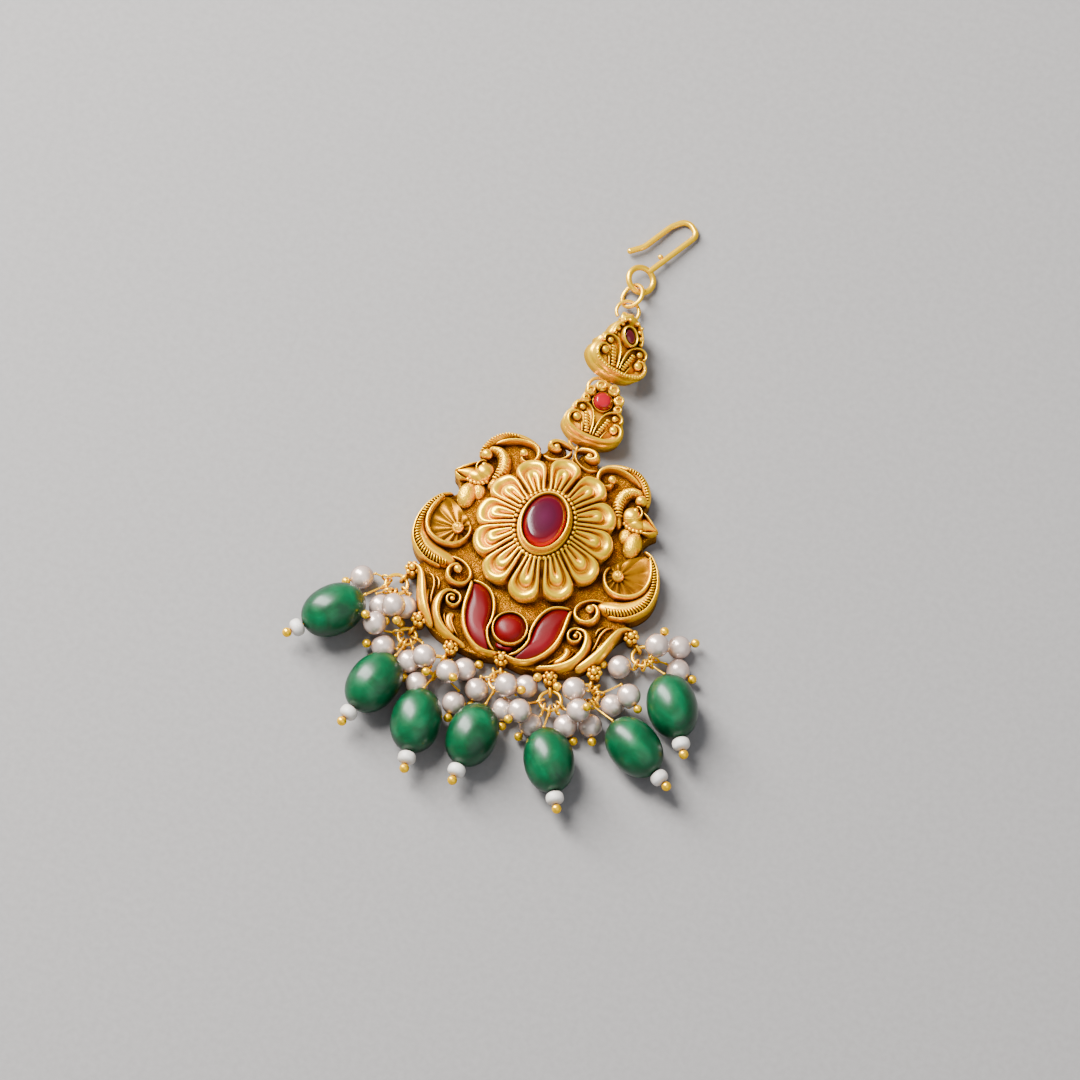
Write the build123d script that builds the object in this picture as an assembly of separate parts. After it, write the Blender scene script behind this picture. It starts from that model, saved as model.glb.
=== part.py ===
"""Maang tikka: a cast gilt forehead pendant with a flower, two birds and a lotus, hung
from two cast links on jump rings and a hair hook, with a fringe of oval beads and pearls.

Frame, in millimetres: the jewel lies on its flat back on z = 0. The origin is the centre of
the pendant's flower on that back, +Y runs up the chain to the hook, and +X is to the right.
"""
from build123d import *
from math import cos, hypot, pi, radians, sin, sqrt
import os

# ---- driving dimensions ------------------------------------------------------------------
PLATE_TOP = 3.1            # ground of the pendant, from its flat back
RELIEF_ROOT = 2.5          # where every raised ridge starts, inside the plate
PETAL_COUNT = 12
PETAL_REACH = (11.9, 13.4)  # half width and half height of the flower, over its petal tips
PETAL_TIP_Z = 4.8
PETAL_ROOT_Z = 7.35
BEAD_RING = (5.0, 6.2)     # half axes of the ring of grains round the centre stone
GRAIN_COUNT = 46
GRAIN_R = 0.34
BEZEL_OUT = (4.3, 5.6)
BEZEL_IN = (3.55, 4.85)
BEZEL_TOP = 9.2
STONE_TOP = 9.8
FIT = 0.08                 # gap left round every stone

PEARL_R = 2.0
BEAD_HALF_LENGTH = 5.6
BEAD_HALF_WIDTH = 4.2
BEAD_REST_Z = BEAD_HALF_WIDTH + 0.03
BEAD_FULLNESS = 2.4        # 2 would be an ellipse; more gives fuller shoulders
HOLE_R = 0.33
LOOP_WIRE_R = 0.19
PIN_R = 0.15
KNOT_R = 0.24
LOOP_R = 0.85
PEARL_BALL_R = 0.73
BEAD_BALL_R = 0.8
SEED_HALF_WIDTH = 1.5
SEED_HALF_LENGTH = 1.1
SEED_FULLNESS = 2.6
BEAD_GAP = 0.06            # between a bead, its seed bead and the pin's balls
RING_WIRE_R = 0.31
FINIAL_LOOP_OUT = 1.75     # from the finial's centre to the centre of its loop
FINIAL_LOOP_Z = 1.6
RING_OUT_Z = 2.1           # height of a drop ring's centre

HOOK_WIRE_R = 0.5
EYE_R = 2.2
LINK_WALL = 3.1
LINK_HOLE_R = 0.65


# ---- small helpers -----------------------------------------------------------------------
def smooth(points, steps=3):
    """A smooth line through the points: Catmull-Rom, with `steps` pieces in each span."""
    ends = [points[0]] + list(points) + [points[-1]]
    line = []
    for a, b, c, d in zip(ends, ends[1:], ends[2:], ends[3:]):
        for i in range(steps):
            t = i / steps
            line.append(tuple(
                0.5 * (2 * q + (r - p) * t + (2 * p - 5 * q + 4 * r - s) * t ** 2
                       + (3 * q - p - 3 * r + s) * t ** 3)
                for p, q, r, s in zip(a, b, c, d)))
    line.append(tuple(points[-1]))
    return line


def mirrored(points):
    return [(-x, y) for x, y in points]


def prism(points, low, high):
    wire = Wire.make_polygon([(x, y, low) for x, y in points], close=True)
    return Solid.extrude(Face(wire), Vector(0, 0, high - low))


def band_outline(points, width, end_width=None, steps=3):
    """The outline of a band of the given width that follows the points."""
    line = smooth(points, steps)
    last = len(line) - 1
    finish = width if end_width is None else end_width
    left = []
    right = []
    for i, (x, y) in enumerate(line):
        ax, ay = line[max(i - 1, 0)]
        bx, by = line[min(i + 1, last)]
        run = hypot(bx - ax, by - ay)
        half = (width + (finish - width) * i / last) / 2
        nx = -(by - ay) / run * half
        ny = (bx - ax) / run * half
        left.append((x + nx, y + ny))
        right.append((x - nx, y - ny))
    return left + right[::-1]


def ridge(points, width, top, end_width=None, root=RELIEF_ROOT, steps=3):
    return prism(band_outline(points, width, end_width, steps), root, top)


def ball(x, y, z, radius, x_dir=(1, 0, 0), z_dir=(0, 0, 1)):
    plane = Plane(origin=(x, y, z), x_dir=x_dir, z_dir=z_dir)
    return Solid.make_sphere(radius, plane, angle1=-90, angle2=90, angle3=360)


def ellipse_points(half_x, half_y, count, z=None):
    points = []
    for i in range(count):
        a = 2 * pi * i / count
        point = (half_x * cos(a), half_y * sin(a))
        points.append(point if z is None else point + (z,))
    return points


def frustum(low, high, count):
    """A solid between two ovals of one proportion; each is (half_x, half_y, z)."""
    faces = [Face(Wire.make_polygon(ellipse_points(ex, ey, count, z), close=True))
             for ex, ey, z in (low, high)]
    return Solid.make_loft([face.outer_wire() for face in faces], ruled=True)


def rod(start, end, radius):
    axis = Vector(*end) - Vector(*start)
    return Solid.make_cylinder(radius, axis.length, Plane(origin=start, z_dir=axis))


def ring(centre, normal, radius, wire, turn=360, begin=None):
    x_dir = None if begin is None else Vector(*begin)
    plane = Plane(origin=centre, x_dir=x_dir, z_dir=Vector(*normal))
    return Solid.make_torus(radius, wire, plane, major_angle=turn)


def common(first, second):
    return (first & second).solids()[0]


def union(solids):
    joined = solids[0].fuse(*solids[1:])
    found = joined.solids() if hasattr(joined, "solids") else [joined]
    return found[0] if len(found) == 1 else Compound(children=list(found))


# ---- pendant: outline and ground ---------------------------------------------------------
# right half of the outline, from the top middle round to the bottom middle: x, y
OUTLINE = [
    (0.0, 13.4), (0.9, 14.1), (1.3, 15.6), (2.6, 16.5), (4.0, 15.9), (4.5, 14.6), (5.1, 14.0),
    (6.0, 14.6), (8.0, 15.3), (10.5, 15.3), (12.6, 14.3), (14.0, 12.9), (14.8, 11.0),
    (14.6, 9.6), (15.3, 8.2), (17.7, 6.0), (16.9, 4.9), (16.2, 3.6), (16.4, 2.3), (17.9, 1.7),
    (19.6, 0.1), (20.7, -2.4), (21.3, -5.0), (20.8, -7.7), (19.4, -9.7), (17.6, -11.0),
    (19.3, -12.2), (18.0, -13.2), (16.9, -15.0), (16.1, -17.5), (15.1, -19.3), (13.6, -21.1),
    (11.6, -22.5), (9.0, -23.4), (6.0, -23.9), (3.5, -24.1), (0.0, -23.6),
]


def ground_plate():
    plate = prism(OUTLINE + mirrored(OUTLINE[1:-1])[::-1], 0, PLATE_TOP)
    cone = frustum((10.3, 12.2, RELIEF_ROOT), (5.3, 5.3 * 12.2 / 10.3, 7.2), 48)
    return [plate, cone]


# ---- pendant: the flower -----------------------------------------------------------------
def petal(angle):
    """One petal: a sloping tongue-shaped slab with a raised rim and a split middle rib."""
    c = cos(angle)
    s = sin(angle)
    reach = 1 / sqrt((c / PETAL_REACH[0]) ** 2 + (s / PETAL_REACH[1]) ** 2)
    root = 1 / sqrt((c / BEAD_RING[0]) ** 2 + (s / BEAD_RING[1]) ** 2) - 0.2
    out = Vector(c * (reach - root), s * (reach - root), PETAL_TIP_Z - PETAL_ROOT_Z)
    side = Vector(-s, c, 0)
    face = Plane(origin=(c * root, s * root, PETAL_ROOT_Z), x_dir=out, z_dir=out.cross(side))
    long = out.length
    half = [(0.0, 1.15), (long * 0.35, 1.75), (long * 0.62, 2.4), (long - 1.6, 2.55)]
    tip = [(long - 1.6 + 1.6 * sin(a), 2.55 * cos(a)) for a in (0.45, 0.9, 1.25)]
    edge = smooth(half + tip, 2) + [(long, 0.0)]
    edge += [(x, -y) for x, y in reversed(edge[:-1])]
    rim_half = [(0.35, 0.7), (long * 0.35, 1.2), (long * 0.62, 1.8), (long - 1.75, 1.85)]
    rim_tip = [(long - 1.75 + 1.1 * sin(a), 1.85 * cos(a)) for a in (0.6, 1.1)]
    rim = rim_half + rim_tip + [(long - 0.65, 0.0)]
    rim += [(x, -y) for x, y in reversed(rim[:-1])]
    pieces = [prism(edge, -1.7, 0), ridge(rim, 0.95, 0.45, root=-0.8, steps=2)]
    for y in (0.38, -0.38):
        tongue = [(0.5, y * 0.7), (long * 0.5, y), (long - 2.3, y * 0.9), (long - 1.9, y * 0.6)]
        pieces.append(ridge(tongue, 0.56, 0.55, 0.35, root=-0.8, steps=1))
    return [face.location * piece for piece in pieces]


def flower():
    pieces = []
    for i in range(PETAL_COUNT):
        pieces += petal(pi / 2 + 2 * pi * i / PETAL_COUNT)
    for x, y in ellipse_points(BEAD_RING[0], BEAD_RING[1], GRAIN_COUNT):
        pieces.append(ball(x, y, 7.38, GRAIN_R))
    outer = prism(ellipse_points(BEZEL_OUT[0], BEZEL_OUT[1], 40), 6.4, BEZEL_TOP)
    inner = prism(ellipse_points(BEZEL_IN[0], BEZEL_IN[1], 40), 7.3, BEZEL_TOP + 1)
    pieces.append(outer.cut(inner))
    return pieces


def oval_stone():
    """Oval cut stone: a straight girdle, sixteen sloping crown facets and a flat table."""
    half_x = BEZEL_IN[0] - FIT
    half_y = BEZEL_IN[1] - FIT
    girdle = prism(ellipse_points(half_x, half_y, 16), 7.3 + FIT, 9.0)
    crown = frustum((half_x, half_y, 9.0), (half_x * 0.66, half_y * 0.66, STONE_TOP), 16)
    return union([girdle, crown])


# ---- pendant: ridges of the right half, mirrored to the left ------------------------------
# width, end width, top, points (x, y)
RIDGES = [
    # strap under the top volutes
    (0.45, 0.45, 4.0, [(0.9, 14.3), (1.6, 13.6), (3.1, 13.3), (4.6, 13.9)]),
    # top scroll: inner rope, then its rim
    (0.5, 0.4, 4.75, [(11.6, 13.4), (9.8, 14.3), (8.0, 14.6), (5.9, 14.2), (5.2, 12.9),
                      (5.6, 11.6), (6.7, 11.1), (7.6, 11.6)]),
    (0.7, 0.5, 4.3, [(8.3, 14.9), (10.4, 14.9), (12.3, 13.9), (13.6, 12.5), (14.3, 10.9)]),
    # neck of the bird with its crest
    (1.5, 1.0, 5.0, [(9.9, 7.6), (9.5, 9.2), (10.3, 10.8), (11.9, 11.6), (13.3, 10.9)]),
    (0.4, 0.4, 5.35, [(10.5, 7.9), (10.2, 9.2), (10.8, 10.4), (11.9, 10.9)]),
    (0.4, 0.4, 5.3, [(9.2, 8.2), (8.9, 9.5), (9.8, 11.3), (11.8, 12.2)]),
    # cheek line and beak
    (0.45, 0.35, 4.9, [(11.6, 6.3), (12.8, 5.9), (14.0, 6.2), (14.9, 7.1)]),
    (0.6, 0.35, 4.7, [(14.6, 7.6), (15.9, 7.1), (17.3, 6.0)]),
    (0.55, 0.35, 4.6, [(14.7, 5.0), (16.0, 5.1), (17.2, 5.8)]),
    # shell: inner rim, outer rim, middle line of the feather band
    (0.55, 0.5, 4.9, [(18.3, 0.3), (19.2, -2.6), (18.7, -5.2), (17.0, -6.9), (15.0, -7.3),
                      (13.0, -6.6), (11.9, -4.9), (11.8, -3.4), (12.5, -2.4)]),
    (0.5, 0.5, 4.6, [(16.9, 1.9), (18.6, 1.1), (19.9, -0.8), (20.7, -3.2), (20.8, -5.4),
                     (20.2, -7.8), (18.8, -9.5), (16.8, -10.6)]),
    (0.4, 0.4, 4.2, [(19.9, -4.1), (19.0, -6.7), (17.3, -8.3), (14.9, -9.0), (12.4, -9.0)]),
    # tail spiral
    (0.75, 0.5, 4.8, [(16.8, -10.6), (15.0, -10.4), (13.2, -9.3), (11.4, -8.9), (9.7, -9.6),
                      (9.0, -11.2), (9.7, -12.9), (11.4, -13.5), (13.0, -12.7), (13.3, -11.2),
                      (12.3, -10.3)]),
    # upper leaf: edge and vein
    (0.8, 0.6, 4.7, [(19.0, -12.2), (17.9, -12.6), (16.7, -14.2), (16.0, -16.2), (15.2, -18.2),
                     (14.0, -19.9), (12.5, -21.5)]),
    (0.4, 0.3, 4.1, [(16.2, -12.3), (14.9, -13.2), (14.1, -15.0), (14.2, -17.2), (13.8, -19.0)]),
    # lower leaf scroll: thick edge and two veins
    (0.85, 0.6, 4.9, [(11.2, -14.8), (12.9, -15.9), (13.3, -17.8), (12.3, -20.2), (10.4, -21.9),
                      (8.4, -22.9), (6.2, -23.4)]),
    (0.6, 0.45, 4.6, [(11.2, -14.9), (10.0, -15.0), (9.4, -16.1), (9.9, -17.3), (11.1, -17.4)]),
    (0.4, 0.3, 4.2, [(11.6, -18.2), (10.6, -20.0), (9.0, -21.7), (7.4, -22.7)]),
    (0.35, 0.3, 4.0, [(10.3, -18.2), (9.6, -19.7), (8.4, -21.3)]),
    # walls of the lotus petals and of the small base petal
    (0.6, 0.5, 4.6, [(8.75, -12.2), (8.75, -14.6), (8.5, -17.4), (7.6, -20.1), (6.0, -22.1),
                     (3.7, -23.3), (1.5, -23.45)]),
    (0.5, 0.5, 4.45, [(8.6, -12.0), (6.2, -11.9), (4.4, -13.5), (3.5, -15.4), (3.3, -16.6)]),
    (0.45, 0.4, 4.35, [(3.2, -19.6), (2.9, -20.9), (2.0, -22.2), (0.9, -23.2)]),
]
# rounded knobs of the right half: x, y, z of the centre, radius
KNOBS = [
    (2.7, 15.2, 3.3, 1.3), (7.4, 12.5, 3.6, 0.75), (13.4, 9.9, 3.9, 0.85),
    (13.0, 7.6, 3.2, 1.75), (13.7, 8.5, 4.6, 0.6), (15.0, 3.2, 3.0, 1.5), (14.8, 1.2, 2.9, 1.1),
    (14.05, -3.7, 3.7, 1.15), (11.5, -11.1, 3.6, 0.95), (12.3, -10.3, 3.9, 0.6),
    (10.6, -16.3, 3.6, 0.75), (13.0, -2.3, 3.9, 0.55),
]
# rows of short cross ribs: count, half length, top, line of centres
RIB_ROWS = [
    (22, 0.5, 4.45, [(18.5, 0.7), (19.9, -2.2), (20.2, -5.0), (19.5, -7.5), (17.7, -9.2),
                     (15.4, -9.7), (13.5, -9.2)]),
    (9, 0.42, 4.55, [(8.9, 15.0), (11.2, 14.6), (13.2, 13.0), (14.1, 11.3)]),
    (6, 0.8, 5.25, [(9.8, 8.3), (9.6, 9.4), (10.5, 10.9), (12.0, 11.6)]),
]
# fan of ribs inside the shell: angle in degrees from the ball, length
FAN_RIBS = [(-160, 2.0), (-135, 2.2), (-110, 2.6), (-85, 2.9), (-60, 3.2), (-35, 3.8),
            (-10, 3.9), (15, 3.6), (42, 3.2)]
FAN_CENTRE = (14.05, -3.7)


def cross_ribs(count, half, top, line):
    fine = smooth(line, 12)
    lengths = [hypot(b[0] - a[0], b[1] - a[1]) for a, b in zip(fine, fine[1:])]
    total = sum(lengths)
    ribs = []
    for i in range(count):
        goal = total * (i + 0.5) / count
        j = 0
        while goal > lengths[j]:
            goal -= lengths[j]
            j += 1
        (ax, ay), (bx, by) = fine[j], fine[j + 1]
        x = ax + (bx - ax) * goal / lengths[j]
        y = ay + (by - ay) * goal / lengths[j]
        nx = -(by - ay) / lengths[j] * half
        ny = (bx - ax) / lengths[j] * half
        ribs.append([(x - nx, y - ny), (x + nx, y + ny)])
    return [(points, top) for points in ribs]


def half_relief(side):
    """All the raised work of one half; side is 1 for the right and -1 for the left."""
    def place(points):
        return points if side > 0 else mirrored(points)

    pieces = []
    for width, end_width, top, points in RIDGES:
        pieces.append(ridge(place(points), width, top, end_width))
    for x, y, z, radius in KNOBS:
        pieces.append(ball(side * x, y, z, radius))
    for count, half, top, line in RIB_ROWS:
        for points, rib_top in cross_ribs(count, half, top, line):
            pieces.append(ridge(place(points), 0.26, rib_top, steps=1))
    for angle, length in FAN_RIBS:
        a = radians(angle)
        x, y = FAN_CENTRE
        rib = [(x + 0.9 * cos(a), y + 0.9 * sin(a)), (x + length * cos(a), y + length * sin(a))]
        pieces.append(ridge(place(rib), 0.3, 4.05, 0.6, steps=1))
    return pieces


# ---- pendant: lotus at the foot ----------------------------------------------------------
LOTUS_CENTRE = (0.0, -18.3)
LOTUS_R = 2.65
# right petal stone, anticlockwise: x, y
PETAL_STONE = [
    (8.25, -12.4), (8.3, -14.4), (8.1, -17.2), (7.2, -19.9), (5.7, -21.8), (3.7, -22.85),
    (2.3, -22.95), (3.3, -21.2), (3.85, -18.8), (4.0, -16.2), (4.75, -14.1), (6.3, -12.4),
]
BASE_STONE = [(-1.45, -21.3), (-1.25, -21.85), (-0.75, -22.05), (0.0, -21.98), (0.75, -22.05),
              (1.25, -21.85), (1.45, -21.3), (0.75, -21.57), (0.0, -21.65), (-0.75, -21.57)]


def lotus_frame():
    x, y = LOTUS_CENTRE
    outer = Solid.make_cylinder(LOTUS_R + 0.5, 2.3, Plane((x, y, RELIEF_ROOT)))
    inner = Solid.make_cylinder(LOTUS_R + FIT, 3, Plane((x, y, PLATE_TOP)))
    return [outer.cut(inner)]


def lotus_petal_stone(side):
    """A flat petal of glass, stepped in at the top so that its edge catches the light."""
    points = PETAL_STONE if side > 0 else mirrored(PETAL_STONE)
    middle = (sum(p[0] for p in points) / len(points), sum(p[1] for p in points) / len(points))
    inner = [(middle[0] + (x - middle[0]) * 0.86, middle[1] + (y - middle[1]) * 0.93)
             for x, y in points]
    return union([prism(points, PLATE_TOP + FIT, 4.05), prism(inner, 3.6, 4.25)])


def lotus_round_stone():
    """Low round cabochon: a straight girdle under part of a large ball."""
    x, y = LOTUS_CENTRE
    girdle = Solid.make_cylinder(LOTUS_R - 0.02, 2.0, Plane((x, y, PLATE_TOP + FIT)))
    return common(girdle, ball(x, y, 0.6, 4.35))


# ---- pendant: finials and their loops ----------------------------------------------------
# finials along the lower edge: name, x, y, direction of the drop in degrees, ring radius
FINIALS = [
    (1, -18.9, -12.7, 240, 1.8), (2, -15.0, -21.0, 252, 1.5), (3, -8.4, -24.1, 252, 1.8),
    (4, 0.2, -23.4, 285, 1.8), (5, 8.9, -24.2, 290, 1.8), (6, 15.6, -21.0, 270, 1.8),
    (7, 19.4, -13.0, 322, 1.8),
]


def finial(x, y, direction):
    """Little flower of seven grains round one, on a post that carries a standing loop."""
    a = radians(direction)
    loop_centre = (x + FINIAL_LOOP_OUT * cos(a), y + FINIAL_LOOP_OUT * sin(a), FINIAL_LOOP_Z)
    pieces = [
        Solid.make_cylinder(1.1, 2.7, Plane((x, y, 0.4))),
        ring(loop_centre, (-sin(a), cos(a), 0), LOOP_R, RING_WIRE_R),
        ball(x, y, 3.6, 0.65),
        ridge([(x, y), (x * 0.9, y * 0.9)], 1.3, 2.8, root=0.5, steps=1),
    ]
    for i in range(7):
        b = a + 2 * pi * i / 7
        pieces.append(ball(x + 0.88 * cos(b), y + 0.88 * sin(b), 3.2, 0.46))
    return pieces


def top_loop():
    """The loop above the volutes that the lower link's ring passes through."""
    x, y, z = PENDANT_RING_POINT
    bar = Solid.make_box(0.5, 3.4, 1.2, Plane((x - 0.25, y - 4.1, z - 0.6)))
    return [ring((x, y, z), (1, 0, 0), LINK_HOLE_R + 0.05, 0.22), bar]


def pendant():
    solids = ground_plate() + flower() + lotus_frame() + top_loop()
    for side in (1, -1):
        solids += half_relief(side)
    for _, x, y, direction, _ in FINIALS:
        solids += finial(x, y, direction)
    return union(solids)


# ---- the two cast links ------------------------------------------------------------------
# A link's own frame: u across, v up from its bottom edge, w out from its back.
LINK_OUTLINE = [(0.0, 0.0), (2.4, 0.1), (4.2, 1.0), (5.2, 2.4), (5.0, 4.0), (4.5, 4.7),
                (4.5, 5.6), (3.7, 6.7), (3.5, 7.6), (3.0, 9.2), (1.7, 10.5), (0.0, 11.2)]
LINK_RIDGES = [
    (0.85, 0.7, 4.3, [(0.0, 0.55), (2.3, 0.65), (3.9, 1.4), (4.7, 2.7), (4.5, 3.9), (3.9, 4.3),
                      (3.2, 4.1)]),
    (0.6, 0.5, 4.1, [(0.15, 0.8), (0.2, 3.2), (0.85, 5.0), (1.9, 6.0), (3.2, 6.3), (4.0, 5.7),
                     (3.9, 4.95)]),
    (0.3, 0.3, 3.6, [(0.8, 1.1), (1.2, 2.6), (2.2, 4.6)]),
    (0.3, 0.3, 3.7, [(1.5, 1.1), (2.3, 2.6), (2.6, 3.4)]),
]
LINK_KNOBS = [(3.35, 3.35, 3.4, 0.85), (3.0, 5.3, 3.4, 0.65)]
# link: lift of its back over the surface at u = 0, x of its middle, y of its foot, roll
LOWER_LINK = (1.3, 1.1, 17.85, 12)
UPPER_LINK = (2.65, 0.7, 30.2, 28)


def link_frame(lift, x, y, roll):
    a = radians(roll)
    return Plane(origin=(x, y, lift), x_dir=(cos(a), 0, -sin(a)), z_dir=(sin(a), 0, cos(a)))


RING_UNDER = -0.6          # w of the rings that run under the links
RING_U = -1.0              # u of their middles
RING_R = 1.9
RING_R_WIRE = 0.3
LOWER_FRAME = link_frame(*LOWER_LINK)
UPPER_FRAME = link_frame(*UPPER_LINK)


def under_lower_link(u, v):
    point = LOWER_FRAME.from_local_coords(Vector(u, v, RING_UNDER))
    return (point.X, point.Y, point.Z)


FOOT_RING_V = 1.25         # v of the middle of the ring to the pendant
HEAD_RING_V = 11.15        # v of the middle of the ring to the upper link
PENDANT_RING_POINT = under_lower_link(RING_U, FOOT_RING_V - RING_R)
UPPER_RING_POINT = under_lower_link(RING_U, HEAD_RING_V + RING_R)


def link_body(wide_top):
    outline = LINK_OUTLINE if wide_top else [(x * (1 if y < 6 else 0.86), y)
                                             for x, y in LINK_OUTLINE]
    pieces = [prism(outline + mirrored(outline[1:-1])[::-1], 0, LINK_WALL)]
    for side in (1, -1):
        for width, end_width, top, points in LINK_RIDGES:
            placed = points if side > 0 else mirrored(points)
            pieces.append(ridge(placed, width, top, end_width))
        for u, v, w, radius in LINK_KNOBS:
            pieces.append(ball(side * u, v, w, radius))
        for i in range(6):
            pieces.append(ball(side * (0.95 + 0.17 * i), 1.3 + 0.6 * i, 3.27, 0.27))
    return pieces


def standing_loop(centre, post_top):
    """A loop that stands under a link, with the short post that joins it to the back."""
    x, y, z = centre
    post = Solid.make_box(0.5, 0.5, post_top - z - 0.6, Plane((x - 0.25, y - 0.25, z + 0.6)))
    return [ring(centre, (1, 0, 0), LINK_HOLE_R + 0.05, 0.22), post]


LINK_STONE = (0.0, 7.4)
LINK_STONE_R = 1.6
# petals of the lower link round its stone: u, v, radius of the curl
CURLS = [(0.0, 10.15, 1.0), (2.05, 9.35, 0.9), (2.85, 7.85, 0.8), (2.85, 6.6, 0.6)]


def lower_link():
    pieces = link_body(True)
    u, v = LINK_STONE
    outer = Solid.make_cylinder(LINK_STONE_R + 0.4, 1.4, Plane((u, v, RELIEF_ROOT)))
    inner = Solid.make_cylinder(LINK_STONE_R + FIT, 2, Plane((u, v, LINK_WALL)))
    pieces.append(outer.cut(inner))
    for cu, cv, radius in CURLS:
        for side in ((1, -1) if cu else (1,)):
            toward = (side * cu - u, cv - v, 0)
            pieces.append(ring((side * cu, cv, LINK_WALL + 0.2), (0, 0, 1), radius * 0.72,
                               radius * 0.36, 300, toward))
            pieces.append(ball(side * cu, cv, LINK_WALL, radius * 0.55))
    placed = [LOWER_FRAME.location * piece for piece in pieces]
    placed += standing_loop(under_lower_link(RING_U, FOOT_RING_V + RING_R), 2.4)
    placed += standing_loop(under_lower_link(RING_U, HEAD_RING_V - RING_R), 2.4)
    return union(placed)


def lower_link_stone():
    u, v = LINK_STONE
    girdle = Solid.make_cylinder(LINK_STONE_R - 0.02, 1.6, Plane((u, v, LINK_WALL + FIT)))
    return LOWER_FRAME.location * common(girdle, ball(u, v, 1.4, 3.15))


UPPER_STONE = (0.1, 7.3)
UPPER_STONE_HALF = (1.45, 1.0)
UPPER_STONE_LEAN = -55     # degrees from the link's width
BAIL = (0.55, 42.15, 1.6)  # middle of the short tube at the top of the upper link
BAIL_R = 1.25
BAIL_HOLE_R = 0.85
BAIL_LENGTH = 1.9


def leaning_oval(half_u, half_v, count=24):
    a = radians(UPPER_STONE_LEAN)
    u, v = UPPER_STONE
    return [(u + x * cos(a) - y * sin(a), v + x * sin(a) + y * cos(a))
            for x, y in ellipse_points(half_u, half_v, count)]


def upper_link():
    pieces = link_body(False)
    half_u, half_v = UPPER_STONE_HALF
    outer = prism(leaning_oval(half_u + 0.45, half_v + 0.45), RELIEF_ROOT, 4.5)
    pieces.append(outer.cut(prism(leaning_oval(half_u, half_v), LINK_WALL + 0.2, 6)))
    for side in (1, -1):
        pieces.append(ridge([(side * u, v) for u, v in
                             [(2.7, 6.4), (2.6, 8.2), (1.5, 9.8), (0.4, 10.6)]], 0.6, 3.9))
        pieces.append(ball(side * 2.2, 8.0, 3.2, 0.55))
    placed = [UPPER_FRAME.location * piece for piece in pieces]
    placed += standing_loop(UPPER_RING_POINT, 3.4)
    tube = Plane(origin=(BAIL[0] - BAIL_LENGTH / 2, BAIL[1], BAIL[2]), z_dir=(1, 0, 0))
    neck = Solid.make_box(1.3, 2.0, 1.5, Plane((BAIL[0] - 0.65, BAIL[1] - 2.6, BAIL[2] + 0.15)))
    solid = Solid.make_cylinder(BAIL_R, BAIL_LENGTH, tube)
    whole = union(placed + [solid, neck])
    return whole.cut(Solid.make_cylinder(BAIL_HOLE_R, BAIL_LENGTH + 4, tube.offset(-2)))


def upper_link_stone():
    half_u, half_v = UPPER_STONE_HALF
    stone = prism(leaning_oval(half_u - FIT, half_v - FIT), LINK_WALL + 0.2 + FIT, 4.35)
    return UPPER_FRAME.location * stone


# ---- rings of the chain and the hook -----------------------------------------------------
# ring: x, y, z of the middle, radius, wire radius, tilt in degrees (right side up), turn
CHAIN_RINGS = {
    "jump_ring_upper": (0.1, 46.7, 1.63, 2.08, 0.35, 36, 345),
    "jump_ring_lower": (0.25, 43.7, 1.6, 1.9, 0.3, -6, 345),
}
EYE = (0.55, 49.95, 1.65)
EYE_TILT = -22
HOOK_START = (1.3, 51.8)
# hook: corners of the wire's line and the radius of each bend, from the eye to the tip
HOOK_LINE = [(1.3, 51.8), (6.9, 61.2), (4.6, 63.6), (2.2, 61.4), (-0.9, 56.2), (-2.9, 54.7)]
HOOK_BENDS = [1.3, 1.7, 3.4, 3.6]
HOOK_DROP = 0.08           # how far the hook sinks towards its bend, per unit of length


def chain_ring(x, y, z, radius, wire, tilt, turn):
    a = radians(tilt)
    return ring((x, y, z), (-sin(a), 0, cos(a)), radius, wire, turn, (-0.5, -0.86, -0.5 * a))


def hook():
    a = radians(EYE_TILT)
    eye = ring(EYE, (-sin(a), 0, cos(a)), EYE_R, HOOK_WIRE_R)
    sloping = Plane(origin=(HOOK_START[0], HOOK_START[1], 1.45), x_dir=(1, 0, 0),
                    z_dir=(0, HOOK_DROP, 1))
    corners = [(x - HOOK_START[0], y - HOOK_START[1]) for x, y in HOOK_LINE]
    line = FilletPolyline(*corners, radius=HOOK_BENDS)
    start = Plane(origin=line @ 0, z_dir=line % 0)
    wire = sweep(start * Circle(HOOK_WIRE_R), path=line)
    nub = ball(1.0, 3.4, 0.1, 0.45)
    tip = ball(corners[-1][0], corners[-1][1], 0, HOOK_WIRE_R + 0.02)
    placed = [sloping.location * piece for piece in (wire.solids()[0], nub, tip)]
    return union([eye] + placed)


# ---- fringe: drop rings, pearls and oval beads --------------------------------------------
# oval beads: name, x, y, direction of the tip (x, y), place on the ring in degrees
BEADS = [
    (1, -28.8, -24.3, (-10.1, -10.5), 207), (2, -18.3, -34.45, (-3.5, -10.3), 277),
    (3, -9.5, -38.7, (1.0, -10), 272), (4, 0.1, -38.2, (-0.8, -12), 258),
    (5, 13.5, -38.5, (2.5, -5), 285), (6, 26.1, -31.9, (8, -5.5), 303),
    (7, 29.8, -23.1, (5.3, -9), 324),
]
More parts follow.
